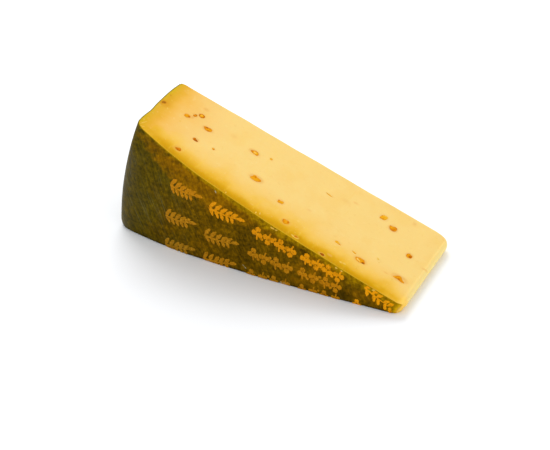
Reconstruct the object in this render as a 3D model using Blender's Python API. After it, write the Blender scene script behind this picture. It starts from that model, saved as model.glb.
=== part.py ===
"""A wedge of fenugreek cheese, cut from the lower half of a round wheel.

The wheel's axis runs along Y, so the wedge lies on one of its two long knife cuts.
The other long cut slopes up from the blunt tip at +X to the wheel's rim at -X.
The wheel's flat face, under its green rind, looks along -Y. The back is a cut too,
at half the height of the wheel. Seeds stand a little proud of the cut faces.
"""

import math
import random

import bmesh
import bpy
from mathutils import Matrix, Vector

# Driving dimensions, in metres and radians.
WHEEL_RADIUS = 0.1251
WEDGE_ANGLE = math.radians(20.86)
HALF_HEIGHT = 0.0470
FACE_DOME = 0.0067
FACE_SHOULDER = 0.0056
RIM_DRAFT = 0.0013
TIP_RADIUS = 0.0104
TIP_SLANT = 0.0009

# How far each upright corner starts from the point where its two sides would meet.
RIM_FRONT_CORNER = 0.0036
RIM_BACK_CORNER = 0.0013
TIP_BACK_CORNER = 0.0045
TIP_FRONT_CORNER = 0.0036

# Roundings along the upper cut, and the small one round the face that it lies on.
# The reach is how far the softer roundings fade into the crisp one.
CRISP_EDGE = 0.0003
BACK_EDGE = 0.0007
BACK_EDGE_REACH = 0.0020
TIP_EDGE = 0.0017
TIP_EDGE_REACH = 0.0060
RIND_EDGE_REACH = 0.0040
FOOT_EDGE = 0.0004

# The rind and the knife leave the faces a little uneven: how deep, and from crest to crest.
RIND_DEPTH = 0.00018
RIND_LONG_WAVE = 0.033
RIND_SHORT_WAVE = 0.015
RIND_CROSS_WAVE = 0.019
KNIFE_DEPTH = 0.00014
KNIFE_LONG_WAVE = 0.026
KNIFE_SHORT_WAVE = 0.012
SMOOTH_TIP = 0.020
SMOOTH_TIP_REACH = 0.030

# How finely the faces are divided.
FRONT_STEPS = 20
BACK_STEPS = 18
END_STEPS = 7
CORNER_STEPS = 5
FOOT_STEPS = 2
WALL_STEPS = 8
ROLL_STEPS = 3
CUT_COLUMNS = 18
CUT_ROWS = 6

# A seed's height above the face, as a part of its width, and how deep its middle lies.
SEED_HEIGHT = 0.15
SEED_SINK = 0.00008
SEED_SIDES = 8
SEED_RINGS = 4

# The seeds that the upper cut goes through, from the rim to the tip: distance from
# the wheel's axis, distance from the back cut, length, width, and turn in degrees.
UPPER_SEEDS = (
    (0.1217, 0.0161, 0.0018, 0.0014, 60),
    (0.1136, 0.0157, 0.0022, 0.0019, 20),
    (0.1097, 0.0119, 0.0027, 0.0023, -20),
    (0.1074, 0.0349, 0.0024, 0.0019, 10),
    (0.1051, 0.0254, 0.0024, 0.0019, -10),
    (0.1044, 0.0164, 0.0032, 0.0025, 15),
    (0.0858, 0.0143, 0.0030, 0.0024, -15),
    (0.0799, 0.0127, 0.0013, 0.0012, 0),
    (0.0794, 0.0269, 0.0043, 0.0030, 15),
    (0.0673, 0.0312, 0.0024, 0.0018, 20),
    (0.0613, 0.0392, 0.0028, 0.0026, 70),
    (0.0553, 0.0135, 0.0024, 0.0010, 10),
    (0.0551, 0.0433, 0.0022, 0.0012, 5),
    (0.0442, 0.0444, 0.0017, 0.0012, 15),
    (0.0423, 0.0345, 0.0027, 0.0013, -15),
    (0.0358, 0.0345, 0.0015, 0.0012, 0),
    (0.0348, 0.0086, 0.0030, 0.0026, 50),
    (0.0324, 0.0366, 0.0036, 0.0026, -20),
    (0.0298, 0.0117, 0.0031, 0.0028, -60),
    (0.0195, 0.0206, 0.0030, 0.0022, 80),
    (0.0179, 0.0343, 0.0044, 0.0030, -25),
)

# The seeds that the back cut goes through, spread from the rim to the tip.
BACK_SEED_COUNT = 15
BACK_SEED_LENGTH = 0.0030
BACK_SEED_MARGIN = 0.0032

# The fixed starts of the random draws: one for places, one for uneven shapes.
SPREAD_DRAW = 31
SHAPE_DRAW = 20
SEED_UNEVENNESS = 0.12


def face_y(radius):
    """Y of the wheel's flat face, which falls away gently towards the rim."""
    part = radius / WHEEL_RADIUS
    return FACE_DOME * part ** 2 + FACE_SHOULDER * part ** 6 - HALF_HEIGHT


def rim_radius(y):
    """Distance of the rim from the axis, a little less towards the back cut."""
    part = 1 - y / face_y(WHEEL_RADIUS)
    return WHEEL_RADIUS - RIM_DRAFT * part ** 3


def stretch(start, end, steps):
    """Evenly spaced values after start and before end."""
    return [start + (end - start) * step / steps for step in range(1, steps)]


def corner(before, middle, after, steps):
    """A round corner that leaves one side at before and joins the next at after."""
    points = []
    for step in range(steps + 1):
        part = step / steps
        point = before * (1 - part) ** 2 + middle * 2 * part * (1 - part) + after * part ** 2
        points.append(point)
    return points


def outline(tip_radius):
    """The wedge's outline on a plane through the axis, as (radius, y) points."""
    front_end = Vector((WHEEL_RADIUS, face_y(WHEEL_RADIUS)))
    front_before = WHEEL_RADIUS - RIM_FRONT_CORNER
    rim_start = front_end.y + RIM_FRONT_CORNER * 0.8
    rim_end = -RIM_BACK_CORNER
    back_start = rim_radius(0) - RIM_BACK_CORNER
    tip_front = Vector((tip_radius, face_y(tip_radius)))
    front_start = tip_radius + TIP_FRONT_CORNER

    front = stretch(front_start, front_before, FRONT_STEPS)
    points = [Vector((r, face_y(r))) for r in front]
    points += corner(
        Vector((front_before, face_y(front_before))),
        front_end,
        Vector((rim_radius(rim_start), rim_start)),
        CORNER_STEPS,
    )
    points += [Vector((rim_radius(y), y)) for y in stretch(rim_start, rim_end, END_STEPS)]
    points += corner(
        Vector((rim_radius(rim_end), rim_end)),
        Vector((rim_radius(0), 0)),
        Vector((back_start, 0)),
        CORNER_STEPS,
    )
    back_end = tip_radius + TIP_BACK_CORNER
    points += [Vector((r, 0)) for r in stretch(back_start, back_end, BACK_STEPS)]
    points += corner(
        Vector((back_end, 0)),
        Vector((tip_radius, 0)),
        Vector((tip_radius, -TIP_BACK_CORNER)),
        CORNER_STEPS,
    )
    tip_end = tip_front.y + TIP_FRONT_CORNER
    tip = stretch(-TIP_BACK_CORNER, tip_end, END_STEPS)
    points += [Vector((tip_radius, y)) for y in tip]
    points += corner(
        Vector((tip_radius, tip_end)),
        tip_front,
        Vector((front_start, face_y(front_start))),
        CORNER_STEPS,
    )
    return points


def inward(points):
    """The direction into the outline at each of its points."""
    directions = []
    for index, point in enumerate(points):
        along = points[(index + 1) % len(points)] - points[index - 1]
        directions.append(Vector((-along.y, along.x)).normalized())
    return directions


def edge_rounding(point):
    """Radius of the upper edge: crisp at the rind, softer at the back and the tip."""
    near_back = max(0.0, 1 + point.y / BACK_EDGE_REACH)
    near_tip = max(0.0, 1 - (point.x - TIP_RADIUS) / TIP_EDGE_REACH)
    off_rind = max(0.0, min(1.0, (point.y - face_y(point.x)) / RIND_EDGE_REACH))
    rounding = CRISP_EDGE + (BACK_EDGE - CRISP_EDGE) * near_back
    return rounding + (TIP_EDGE - rounding) * near_tip * off_rind


def wave(distance, length, start=0.0):
    """A smooth wave along a distance, from -1 to 1, with start in radians."""
    return math.sin(math.tau * distance / length + start)


def unevenness(point, angle):
    """How far the outer surface swells or dips at a point of the outline."""
    long_wave = wave(point.x, RIND_LONG_WAVE, 2.1)
    short_wave = wave(point.x, RIND_SHORT_WAVE, 14 * angle) / 2
    cross_wave = wave(point.y, RIND_CROSS_WAVE, 11 * angle)
    away_from_tip = min(1.0, max(0.0, (point.x - SMOOTH_TIP) / SMOOTH_TIP_REACH))
    return RIND_DEPTH * (long_wave + short_wave + cross_wave) / 2 * away_from_tip


def knife_unevenness(radius, y):
    """How far the long cut dips below its plane where the knife wandered."""
    long_wave = wave(radius + y / 6, KNIFE_LONG_WAVE)
    short_wave = wave(radius - y / 6, KNIFE_SHORT_WAVE, 1.3)
    return -KNIFE_DEPTH * (2 + long_wave + short_wave) / 4


def on_cut(radius, y, angle):
    """The place at a distance from the axis, on the half-plane at an angle."""
    return Vector((-radius * math.cos(angle), y, radius * math.sin(angle)))


def foot_row(turn):
    """A row of the small rounding round the foot, from the floor up."""
    inset = FOOT_EDGE * (1 - math.sin(turn))
    height = FOOT_EDGE * (1 - math.cos(turn))
    return lambda point: (inset, height / point.x)


def wall_row(part):
    """A row of the walls, which follow the wheel round its axis."""
    def place(point):
        lowest = FOOT_EDGE / point.x
        highest = WEDGE_ANGLE - edge_rounding(point) / point.x
        return 0.0, lowest + (highest - lowest) * part
    return place


def roll_row(turn):
    """A row of the upper edge, where the walls roll over on to the sloping cut."""
    def place(point):
        rounding = edge_rounding(point)
        drop = rounding * (1 - math.sin(turn))
        return rounding * (1 - math.cos(turn)), WEDGE_ANGLE - drop / point.x
    return place


def add_loop(mesh, row, tip_radius):
    """One closed loop of points round the wedge. A row gives inset and angle."""
    points = outline(tip_radius)
    loop = []
    for point, direction in zip(points, inward(points)):
        inset, angle = row(point)
        place = point + direction * (inset - unevenness(point, angle))
        loop.append(mesh.verts.new(on_cut(place.x, min(place.y, 0.0), angle)))
    return loop


def join_loops(mesh, lower, upper):
    """The band of faces between two loops."""
    for index in range(len(lower)):
        following = (index + 1) % len(lower)
        mesh.faces.new((lower[index], lower[following], upper[following], upper[index]))


def build_body():
    """The bare wedge, before the seeds are joined to it."""
    mesh = bmesh.new()
    quarter = math.pi / 2
    foot_tip = TIP_RADIUS + TIP_SLANT
    loops = []
    for step in range(FOOT_STEPS + 1):
        loops.append(add_loop(mesh, foot_row(quarter * step / FOOT_STEPS), foot_tip))
    for step in range(1, WALL_STEPS):
        part = step / WALL_STEPS
        loops.append(add_loop(mesh, wall_row(part), foot_tip - TIP_SLANT * part))
    for step in range(ROLL_STEPS + 1):
        loops.append(add_loop(mesh, roll_row(quarter * step / ROLL_STEPS), TIP_RADIUS))

    for lower, upper in zip(loops, loops[1:]):
        join_loops(mesh, lower, upper)
    mesh.faces.new(loops[0])
    upper_cut = mesh.faces.new(loops[-1])
    roughen_upper_cut(mesh, upper_cut)
    bmesh.ops.triangulate(mesh, faces=mesh.faces[:])
    bmesh.ops.recalc_face_normals(mesh, faces=mesh.faces[:])
    return mesh


def roughen_upper_cut(mesh, face):
    """Divides the long cut into a net and lets its inner points dip."""
    cut_normal = Vector((math.sin(WEDGE_ANGLE), 0, math.cos(WEDGE_ANGLE)))
    border = set(face.verts)
    net = [face] + list(face.edges) + list(face.verts)
    slope = Vector((-math.cos(WEDGE_ANGLE), 0, math.sin(WEDGE_ANGLE)))
    for radius in stretch(TIP_RADIUS, WHEEL_RADIUS, CUT_COLUMNS):
        cut = bmesh.ops.bisect_plane(mesh, geom=net, plane_co=slope * radius, plane_no=slope)
        net = cut["geom"]
    for y in stretch(0, -HALF_HEIGHT, CUT_ROWS):
        cut = bmesh.ops.bisect_plane(mesh, geom=net, plane_co=(0, y, 0), plane_no=(0, 1, 0))
        net = cut["geom"]
    net_faces = {item for item in net if isinstance(item, bmesh.types.BMFace)}
    for item in net:
        if not isinstance(item, bmesh.types.BMVert) or item in border:
            continue
        if all(neighbour in net_faces for neighbour in item.link_faces):
            item.co += cut_normal * knife_unevenness(item.co.dot(slope), item.co.y)


def add_seed(name, place, facing, along, length, width, draw, collection):
    """One seed: a low, slightly uneven lozenge of a dome, sunk to its middle."""
    across = facing.cross(along)
    height = width * SEED_HEIGHT
    mesh = bmesh.new()
    bmesh.ops.create_uvsphere(mesh, u_segments=SEED_SIDES, v_segments=SEED_RINGS, radius=1)
    for vert in mesh.verts:
        uneven = 1 + draw.uniform(-SEED_UNEVENNESS, SEED_UNEVENNESS)
        vert.co = Vector((vert.co.x * uneven, vert.co.y * uneven, vert.co.z))
    shape = Matrix((along, across, facing)).transposed()
    size = Matrix.Diagonal((length / 2, width / 2, height))
    bmesh.ops.transform(mesh, matrix=(shape @ size).to_4x4(), verts=mesh.verts)
    bmesh.ops.triangulate(mesh, faces=mesh.faces[:])
    seed_mesh = bpy.data.meshes.new(name)
    mesh.to_mesh(seed_mesh)
    mesh.free()
    seed = bpy.data.objects.new(name, seed_mesh)
    seed.location = place - facing * SEED_SINK
    collection.objects.link(seed)


def add_upper_seeds(collection, draw):
    """The seeds in the sloping cut."""
    facing = Vector((math.sin(WEDGE_ANGLE), 0, math.cos(WEDGE_ANGLE)))
    to_rim = Vector((-math.cos(WEDGE_ANGLE), 0, math.sin(WEDGE_ANGLE)))
    for number, (radius, from_back, length, width, turn) in enumerate(UPPER_SEEDS):
        along = Matrix.Rotation(math.radians(turn), 3, facing) @ to_rim
        dip = knife_unevenness(radius, -from_back)
        place = on_cut(radius, -from_back, WEDGE_ANGLE) + facing * dip
        add_seed(f"upper_seed_{number}", place, facing, along, length, width, draw, collection)


def add_back_seeds(collection, draw):
    """The seeds in the back cut, one after another from the rim to the tip."""
    facing = Vector((0, 1, 0))
    spread = random.Random(SPREAD_DRAW)
    first = rim_radius(0) - 2 * BACK_SEED_MARGIN
    last = 3 * BACK_SEED_MARGIN / math.sin(WEDGE_ANGLE)
    for number in range(BACK_SEED_COUNT):
        radius = first + (last - first) * number / (BACK_SEED_COUNT - 1)
        lowest = BACK_SEED_MARGIN / radius
        angle = spread.uniform(lowest, WEDGE_ANGLE - lowest)
        turn = Matrix.Rotation(spread.uniform(0, math.pi), 3, facing)
        length = BACK_SEED_LENGTH * spread.uniform(0.65, 1.2)
        width = length * spread.uniform(0.6, 0.9)
        along = turn @ Vector((1, 0, 0))
        place = on_cut(radius, 0, angle)
        add_seed(f"back_seed_{number}", place, facing, along, length, width, draw, collection)


def food_material(name, colour, roughness):
    """A plain material with the part's own colour."""
    material = bpy.data.materials.new(name)
    material.use_nodes = True
    shader = material.node_tree.nodes["Principled BSDF"]
    shader.inputs["Base Color"].default_value = (*colour, 1)
    shader.inputs["Roughness"].default_value = roughness
    shader.inputs["Metallic"].default_value = 0
    return material


def stand_over_origin(wedge):
    """Moves the wedge until the middle of its foot is over the origin."""
    corners = [Vector(place) for place in wedge.bound_box]
    middle_x = (min(place.x for place in corners) + max(place.x for place in corners)) / 2
    middle_y = (min(place.y for place in corners) + max(place.y for place in corners)) / 2
    wedge.location = (-middle_x, -middle_y, 0)


def build_wedge():
    """The whole piece, with its seeds joined to it as one solid."""
    body = build_body()
    wedge_mesh = bpy.data.meshes.new("cheese_wedge")
    body.to_mesh(wedge_mesh)
    body.free()
    wedge = bpy.data.objects.new("cheese_wedge", wedge_mesh)
    bpy.context.scene.collection.objects.link(wedge)
    wedge_mesh.materials.append(food_material("cheese_paste", (0.96, 0.68, 0.24), 0.45))

    seeds = bpy.data.collections.new("seeds")
    bpy.context.scene.collection.children.link(seeds)
    draw = random.Random(SHAPE_DRAW)
    add_upper_seeds(seeds, draw)
    add_back_seeds(seeds, draw)

    union = wedge.modifiers.new("seeds", "BOOLEAN")
    union.operation = "UNION"
    union.operand_type = "COLLECTION"
    union.collection = seeds
    union.solver = "EXACT"
    bpy.context.view_layer.objects.active = wedge
    bpy.ops.object.modifier_apply(modifier=union.name)

    for seed in list(seeds.objects):
        bpy.data.objects.remove(seed, do_unlink=True)
    bpy.data.collections.remove(seeds)

    wedge.data.shade_smooth()
    wedge.data.set_sharp_from_angle(angle=math.radians(35))
    stand_over_origin(wedge)


for leftover in list(bpy.data.objects):
    bpy.data.objects.remove(leftover, do_unlink=True)
build_wedge()
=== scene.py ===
"""A wedge of fenugreek cheese under a waxed green rind, dressed round its solid."""

import contextlib
import math
import random

import bmesh
import bpy
import numpy as np
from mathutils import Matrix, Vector, noise


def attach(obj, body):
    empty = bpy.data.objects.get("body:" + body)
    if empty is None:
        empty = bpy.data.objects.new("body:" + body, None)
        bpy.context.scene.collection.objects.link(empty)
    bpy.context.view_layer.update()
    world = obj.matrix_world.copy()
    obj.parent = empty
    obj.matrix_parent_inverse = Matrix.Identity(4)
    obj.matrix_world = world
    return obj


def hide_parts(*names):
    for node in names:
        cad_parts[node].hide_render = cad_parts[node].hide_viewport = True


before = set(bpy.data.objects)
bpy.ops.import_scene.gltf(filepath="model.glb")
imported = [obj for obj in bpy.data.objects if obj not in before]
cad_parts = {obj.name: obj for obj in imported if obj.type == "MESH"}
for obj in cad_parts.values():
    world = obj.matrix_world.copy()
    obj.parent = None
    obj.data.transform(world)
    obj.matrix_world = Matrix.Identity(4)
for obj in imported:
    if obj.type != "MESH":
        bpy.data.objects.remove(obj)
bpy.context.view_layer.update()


# The paste: semi-hard cheese, pale in its heart and ochre where it dried under the rind.
# A round wheel was halved level with its flat faces, and a long knife cut this wedge from
# one half. It lies on one long cut, and the other slopes up from the blunt tip to the rim.

WHEEL_AXIS = Vector((0.06772, 0.02326, 0.0))
WHEEL_RADIUS = 0.1251
WEDGE_ANGLE = math.radians(20.86)
HALF_HEIGHT = 0.0470
FACE_DOME = 0.0067
FACE_SHOULDER = 0.0056
RIM_DRAFT = 0.0013
TIP_RADIUS = 0.0104
TIP_SLANT = 0.0009
RIM_FRONT_CORNER = 0.0036
RIM_CORNER_SHARE = 0.8
RIM_BACK_CORNER = 0.0022
TIP_BACK_CORNER = 0.0045
TIP_FRONT_CORNER = 0.0036
CRISP_EDGE = 0.0003
BACK_EDGE = 0.0005
BACK_EDGE_REACH = 0.0020
TIP_EDGE = 0.0017
TIP_EDGE_REACH = 0.0060
RIND_EDGE_START = 0.0006
RIND_EDGE_REACH = 0.0030
FOOT_EDGE = 0.0007
RIND_WAVE_DEPTH = 0.00018
RIND_WAVES = (0.033, 0.015, 0.019)
CALM_TIP = 0.020
CALM_TIP_REACH = 0.030
RIM_DENT_DEPTH = 0.00045
RIM_DENT_Y = -0.0236
RIM_DENT_REACH = 0.0038
RIM_DENT_START = 0.120
RIM_DENT_FADE = 0.003
WORN_FOOT_DEPTH = 0.0006
WORN_FOOT_HEIGHT = 0.0034
WORN_FOOT_REACH = 0.0040
KNIFE_WAVE_DEPTH = 0.00014
KNIFE_WAVES = (0.026, 0.012)
RESTING_CUT_LIFT = 0.00012
SIDE_POINTS = (120, 40, 60, 40)
COLUMNS = 240
ROWS = 96
WALL_STEPS = 30
ROLL_STEPS = 6
FOOT_STEPS = 5
CUT_SINK = 0.00004
EDGE_SETTLE = 0.002
RESTING_CUT_START = 0.0012

CUT_NORMAL = Vector((math.sin(WEDGE_ANGLE), 0, math.cos(WEDGE_ANGLE)))
CUT_SLOPE = Vector((-math.cos(WEDGE_ANGLE), 0, math.sin(WEDGE_ANGLE)))


def face_y(radius):
    """Y of the wheel's flat face from its axis, which falls away towards the rim."""
    part = radius / WHEEL_RADIUS
    return FACE_DOME * part ** 2 + FACE_SHOULDER * part ** 6 - HALF_HEIGHT


def rim_radius(y):
    """Distance of the rim from the axis, a little less towards the back cut."""
    part = 1 - y / face_y(WHEEL_RADIUS)
    return WHEEL_RADIUS - RIM_DRAFT * part ** 3


def straight(start, end, steps):
    """Evenly spaced points from one point of the outline to another."""
    part = np.linspace(0, 1, steps + 1)[:, None]
    return np.array(start) * (1 - part) + np.array(end) * part


def bent(start, middle, end, steps=12):
    """A curved line from one point to another, drawn towards a middle one."""
    part = np.linspace(0, 1, steps + 1)[:, None]
    start, middle, end = np.array(start), np.array(middle), np.array(end)
    return start * (1 - part) ** 2 + 2 * middle * part * (1 - part) + end * part ** 2


def corner(before, middle, after, steps=16):
    """A round corner, as its two halves."""
    points = bent(before, middle, after, steps)
    return points[:steps // 2 + 1], points[steps // 2:]


def tip_radius_at(part):
    """Distance of the tip's wall from the axis, at a part of the wedge's height."""
    return TIP_RADIUS + TIP_SLANT * (1 - part)


def angle_at(part, radius, above=0.0, below=0.0):
    """The angle from the floor at a part of the height, between a foot gap and a top gap."""
    return above / radius + (WEDGE_ANGLE - (above + below) / radius) * part


def outline_sides(tip_radius):
    """The front, rim, back and tip of the outline, from corner middle to corner middle."""
    front_y = face_y(WHEEL_RADIUS)
    tip_end = face_y(tip_radius) + TIP_FRONT_CORNER
    front_steps, rim_steps, back_steps, tip_steps = SIDE_POINTS
    front_end = WHEEL_RADIUS - RIM_FRONT_CORNER
    front = straight((tip_radius + TIP_FRONT_CORNER, 0), (front_end, 0), front_steps)
    front[:, 1] = face_y(front[:, 0])
    rim_start = front_y + RIM_FRONT_CORNER * RIM_CORNER_SHARE
    rim = straight((0, rim_start), (0, -RIM_BACK_CORNER), rim_steps)
    rim[:, 0] = rim_radius(rim[:, 1])
    back_start = rim_radius(0) - RIM_BACK_CORNER
    back = straight((back_start, 0), (tip_radius + TIP_BACK_CORNER, 0), back_steps)
    tip = straight((tip_radius, -TIP_BACK_CORNER), (tip_radius, tip_end), tip_steps)
    rim_front = corner(front[-1], (WHEEL_RADIUS, front_y), rim[0])
    rim_back = corner(rim[-1], (rim_radius(0), 0), back[0])
    tip_back = corner(back[-1], (tip_radius, 0), tip[0])
    tip_front = corner(tip[-1], (tip_radius, face_y(tip_radius)), front[0])
    return (
        np.vstack((tip_front[1], front[1:-1], rim_front[0])),
        np.vstack((rim_front[1], rim[1:-1], rim_back[0])),
        np.vstack((rim_back[1], back[1:-1], tip_back[0])),
        np.vstack((tip_back[1], tip[1:-1], tip_front[0])),
    )


def run_lengths(points):
    """The distance along a line of points, from its start to each point."""
    steps = np.linalg.norm(np.diff(points, axis=0), axis=1)
    return np.concatenate(((0,), np.cumsum(steps)))


def along_line(points, lengths):
    """The points that lie at some distances along a line."""
    run = run_lengths(points)
    return np.column_stack([np.interp(lengths, run, points[:, axis]) for axis in (0, 1)])


def wedge_outline(tip_radius):
    """The closed outline as evenly spaced (radius, y) points, with its four sides in order."""
    parts = []
    for side, count in zip(outline_sides(tip_radius), (COLUMNS, ROWS, COLUMNS, ROWS)):
        whole = run_lengths(side)[-1]
        parts.append(along_line(side, np.arange(count) / count * whole))
    return np.vstack(parts)


def inward(points):
    """The direction into the outline at each of its points."""
    along = np.roll(points, -1, axis=0) - np.roll(points, 1, axis=0)
    along /= np.linalg.norm(along, axis=1)[:, None]
    return np.column_stack((-along[:, 1], along[:, 0]))


def edge_rounding(radius, y):
    """Radius of the upper edge: crisp at the rind, softer at the back and the tip."""
    near_back = np.clip(1 + y / BACK_EDGE_REACH, 0, None)
    near_tip = np.clip(1 - (radius - TIP_RADIUS) / TIP_EDGE_REACH, 0, None)
    off_rind = np.clip((y - face_y(radius) - RIND_EDGE_START) / RIND_EDGE_REACH, 0, 1)
    rounding = CRISP_EDGE + (BACK_EDGE - CRISP_EDGE) * near_back
    return rounding + (TIP_EDGE - rounding) * near_tip * off_rind


def wave(distance, length, start=0.0):
    """A smooth wave along a distance, from -1 to 1."""
    return np.sin(math.tau * distance / length + start)


def wheel_unevenness(radius, y, angle):
    """How far the wheel's outer surface swells or dips."""
    long, short, across = RIND_WAVES
    waves = wave(radius, long, 2.1) + wave(radius, short, 14 * angle) / 2
    waves = waves + wave(y, across, 11 * angle)
    swell = RIND_WAVE_DEPTH * waves / 2 * np.clip((radius - CALM_TIP) / CALM_TIP_REACH, 0, 1)
    near_dent = np.exp(-((y - RIM_DENT_Y) / RIM_DENT_REACH) ** 2)
    near_dent = near_dent * np.clip((radius - RIM_DENT_START) / RIM_DENT_FADE, 0, 1)
    dent = RIM_DENT_DEPTH * near_dent * np.clip(angle / WEDGE_ANGLE * 2 - 1, 0, 1)
    from_corner = np.hypot(WHEEL_RADIUS - radius, y - face_y(WHEEL_RADIUS))
    near_corner = np.clip(1.4 - from_corner / WORN_FOOT_REACH, 0, 1)
    near_floor = np.clip(1 - radius * angle / WORN_FOOT_HEIGHT, 0, 1) ** 2
    return swell - dent - WORN_FOOT_DEPTH * near_corner * near_floor


def knife_unevenness(radius, y):
    """How far a long cut dips below its plane where the knife wandered."""
    long, short = KNIFE_WAVES
    waves = wave(radius + y / 6, long) + wave(radius - y / 6, short, 1.3)
    return -KNIFE_WAVE_DEPTH * (2 + waves) / 4


def on_cut(radius, y, angle):
    """Places in the part's frame, at a distance from the axis on a half-plane at an angle."""
    places = (-radius * np.cos(angle), y + 0 * angle, radius * np.sin(angle))
    return np.column_stack(np.broadcast_arrays(*places)) + np.array(WHEEL_AXIS)


# What the rind covers: from just past the tip's front corner, further back at the foot,
# to the back cut. The paste is set in there by less than the rind's thickness.
RIND_INSET = 0.00025
SKIN_INSET = 0.00007
RIND_START = 0.0112
RIND_START_SLANT = 0.0014
RIND_END_FADE = 0.0004
RIND_BACK_GAP = 0.0003


def soft_step(value):
    """0 below 0, 1 above 1, and smooth between."""
    value = np.clip(value, 0, 1)
    return value * value * (3 - 2 * value)


def rind_cover(radius, y, part):
    """1 where the rind lies on the outline, for its front and rim sides."""
    start = RIND_START + RIND_START_SLANT * (1 - part)
    cover = soft_step((radius - start) / RIND_END_FADE) * soft_step((-y - RIND_BACK_GAP) / RIND_END_FADE)
    cover[COLUMNS + ROWS:] = 0
    return cover


def paste_loop(part, foot_inset, above, edge_inset, edge_below):
    """One loop of the paste's skin, as (radius, y) and places: at a part of the height, set
    in at the foot, above a gap, and set in and held below the cut by shares of its edge."""
    points = wedge_outline(tip_radius_at(part))
    radius, y = points.T
    rounding = edge_rounding(radius, y)
    angle = angle_at(part, radius, above, rounding * edge_below)
    inset = foot_inset + rounding * edge_inset + SKIN_INSET + RIND_INSET * rind_cover(radius, y, part)
    shift = inset - wheel_unevenness(radius, y, angle)
    moved = points + inward(points) * shift[:, None]
    moved[:, 1] = np.minimum(moved[:, 1], 0)
    return moved, on_cut(*moved.T, angle)


def paste_loops():
    """All loops of the skin: the foot's round edge, the wall, and the upper cut's edge."""
    rows = []
    for turn in np.linspace(0, math.pi / 2, FOOT_STEPS + 1):
        rows.append((0, FOOT_EDGE * (1 - math.sin(turn)), FOOT_EDGE * (1 - math.cos(turn)), 0, 0))
    for step in range(1, WALL_STEPS):
        rows.append((step / WALL_STEPS, 0, FOOT_EDGE, 0, 1))
    for turn in np.linspace(0, math.pi / 2, ROLL_STEPS + 1):
        rows.append((1, 0, 0, 1 - math.cos(turn), 1 - math.sin(turn)))
    return [paste_loop(*row) for row in rows]


def face_net(loop):
    """A net of points that fills a loop, worked out from its four sides."""
    front = np.vstack((loop[:COLUMNS], loop[COLUMNS:COLUMNS + 1]))
    rim = loop[COLUMNS:COLUMNS + ROWS + 1]
    back = loop[COLUMNS + ROWS:2 * COLUMNS + ROWS + 1][::-1]
    tip = np.vstack((loop[2 * COLUMNS + ROWS:], loop[:1]))[::-1]
    across = np.linspace(0, 1, COLUMNS + 1)[None, :, None]
    up = np.linspace(0, 1, ROWS + 1)[:, None, None]
    net = front[None] * (1 - up) + back[None] * up
    net = net + tip[:, None] * (1 - across) + rim[:, None] * across
    corners = front[0] * (1 - up) * (1 - across) + front[-1] * (1 - up) * across
    corners = corners + back[0] * up * (1 - across) + back[-1] * up * across
    return net - corners


def net_numbers(start, loop_start):
    """The vertex number of each point of a face's net, whose border is a loop's vertices."""
    numbers = np.zeros((ROWS + 1, COLUMNS + 1), int)
    numbers[1:-1, 1:-1] = start + np.arange((ROWS - 1) * (COLUMNS - 1)).reshape(ROWS - 1, -1)
    numbers[0, :] = loop_start + np.arange(COLUMNS + 1)
    numbers[:, -1] = loop_start + COLUMNS + np.arange(ROWS + 1)
    numbers[-1, :] = (loop_start + COLUMNS + ROWS + np.arange(COLUMNS + 1))[::-1]
    ends = 2 * COLUMNS + ROWS + np.arange(ROWS + 1)
    ends[-1] = 0
    numbers[:, 0] = (loop_start + ends)[::-1]
    return numbers


def quads(numbers):
    """The four-sided faces of a net of vertex numbers."""
    return np.stack(
        (numbers[:-1, :-1], numbers[:-1, 1:], numbers[1:, 1:], numbers[1:, :-1]), axis=-1
    ).reshape(-1, 4)


@contextlib.contextmanager
def opened(mesh):
    """A mesh's shape, opened to be changed and then put back."""
    shape = bmesh.new()
    shape.from_mesh(mesh)
    yield shape
    shape.to_mesh(mesh)
    shape.free()


def make_piece(name, places, faces, material):
    """A smooth mesh piece that rides with the wedge, from its places and its faces."""
    mesh = bpy.data.meshes.new(name)
    mesh.from_pydata([tuple(place) for place in places], [], [tuple(face) for face in faces])
    with opened(mesh) as shape:
        bmesh.ops.recalc_face_normals(shape, faces=shape.faces[:])
    mesh.shade_smooth()
    mesh.materials.append(material)
    piece = bpy.data.objects.new(name, mesh)
    bpy.context.scene.collection.objects.link(piece)
    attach(piece, "root")
    return piece


def give_values(piece, **values):
    """Stores numbers for each vertex, for the piece's material to read."""
    for name, numbers in values.items():
        attribute = piece.data.attributes.new(name, "FLOAT", "POINT")
        attribute.data.foreach_set("value", np.asarray(numbers, np.float32))


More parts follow.
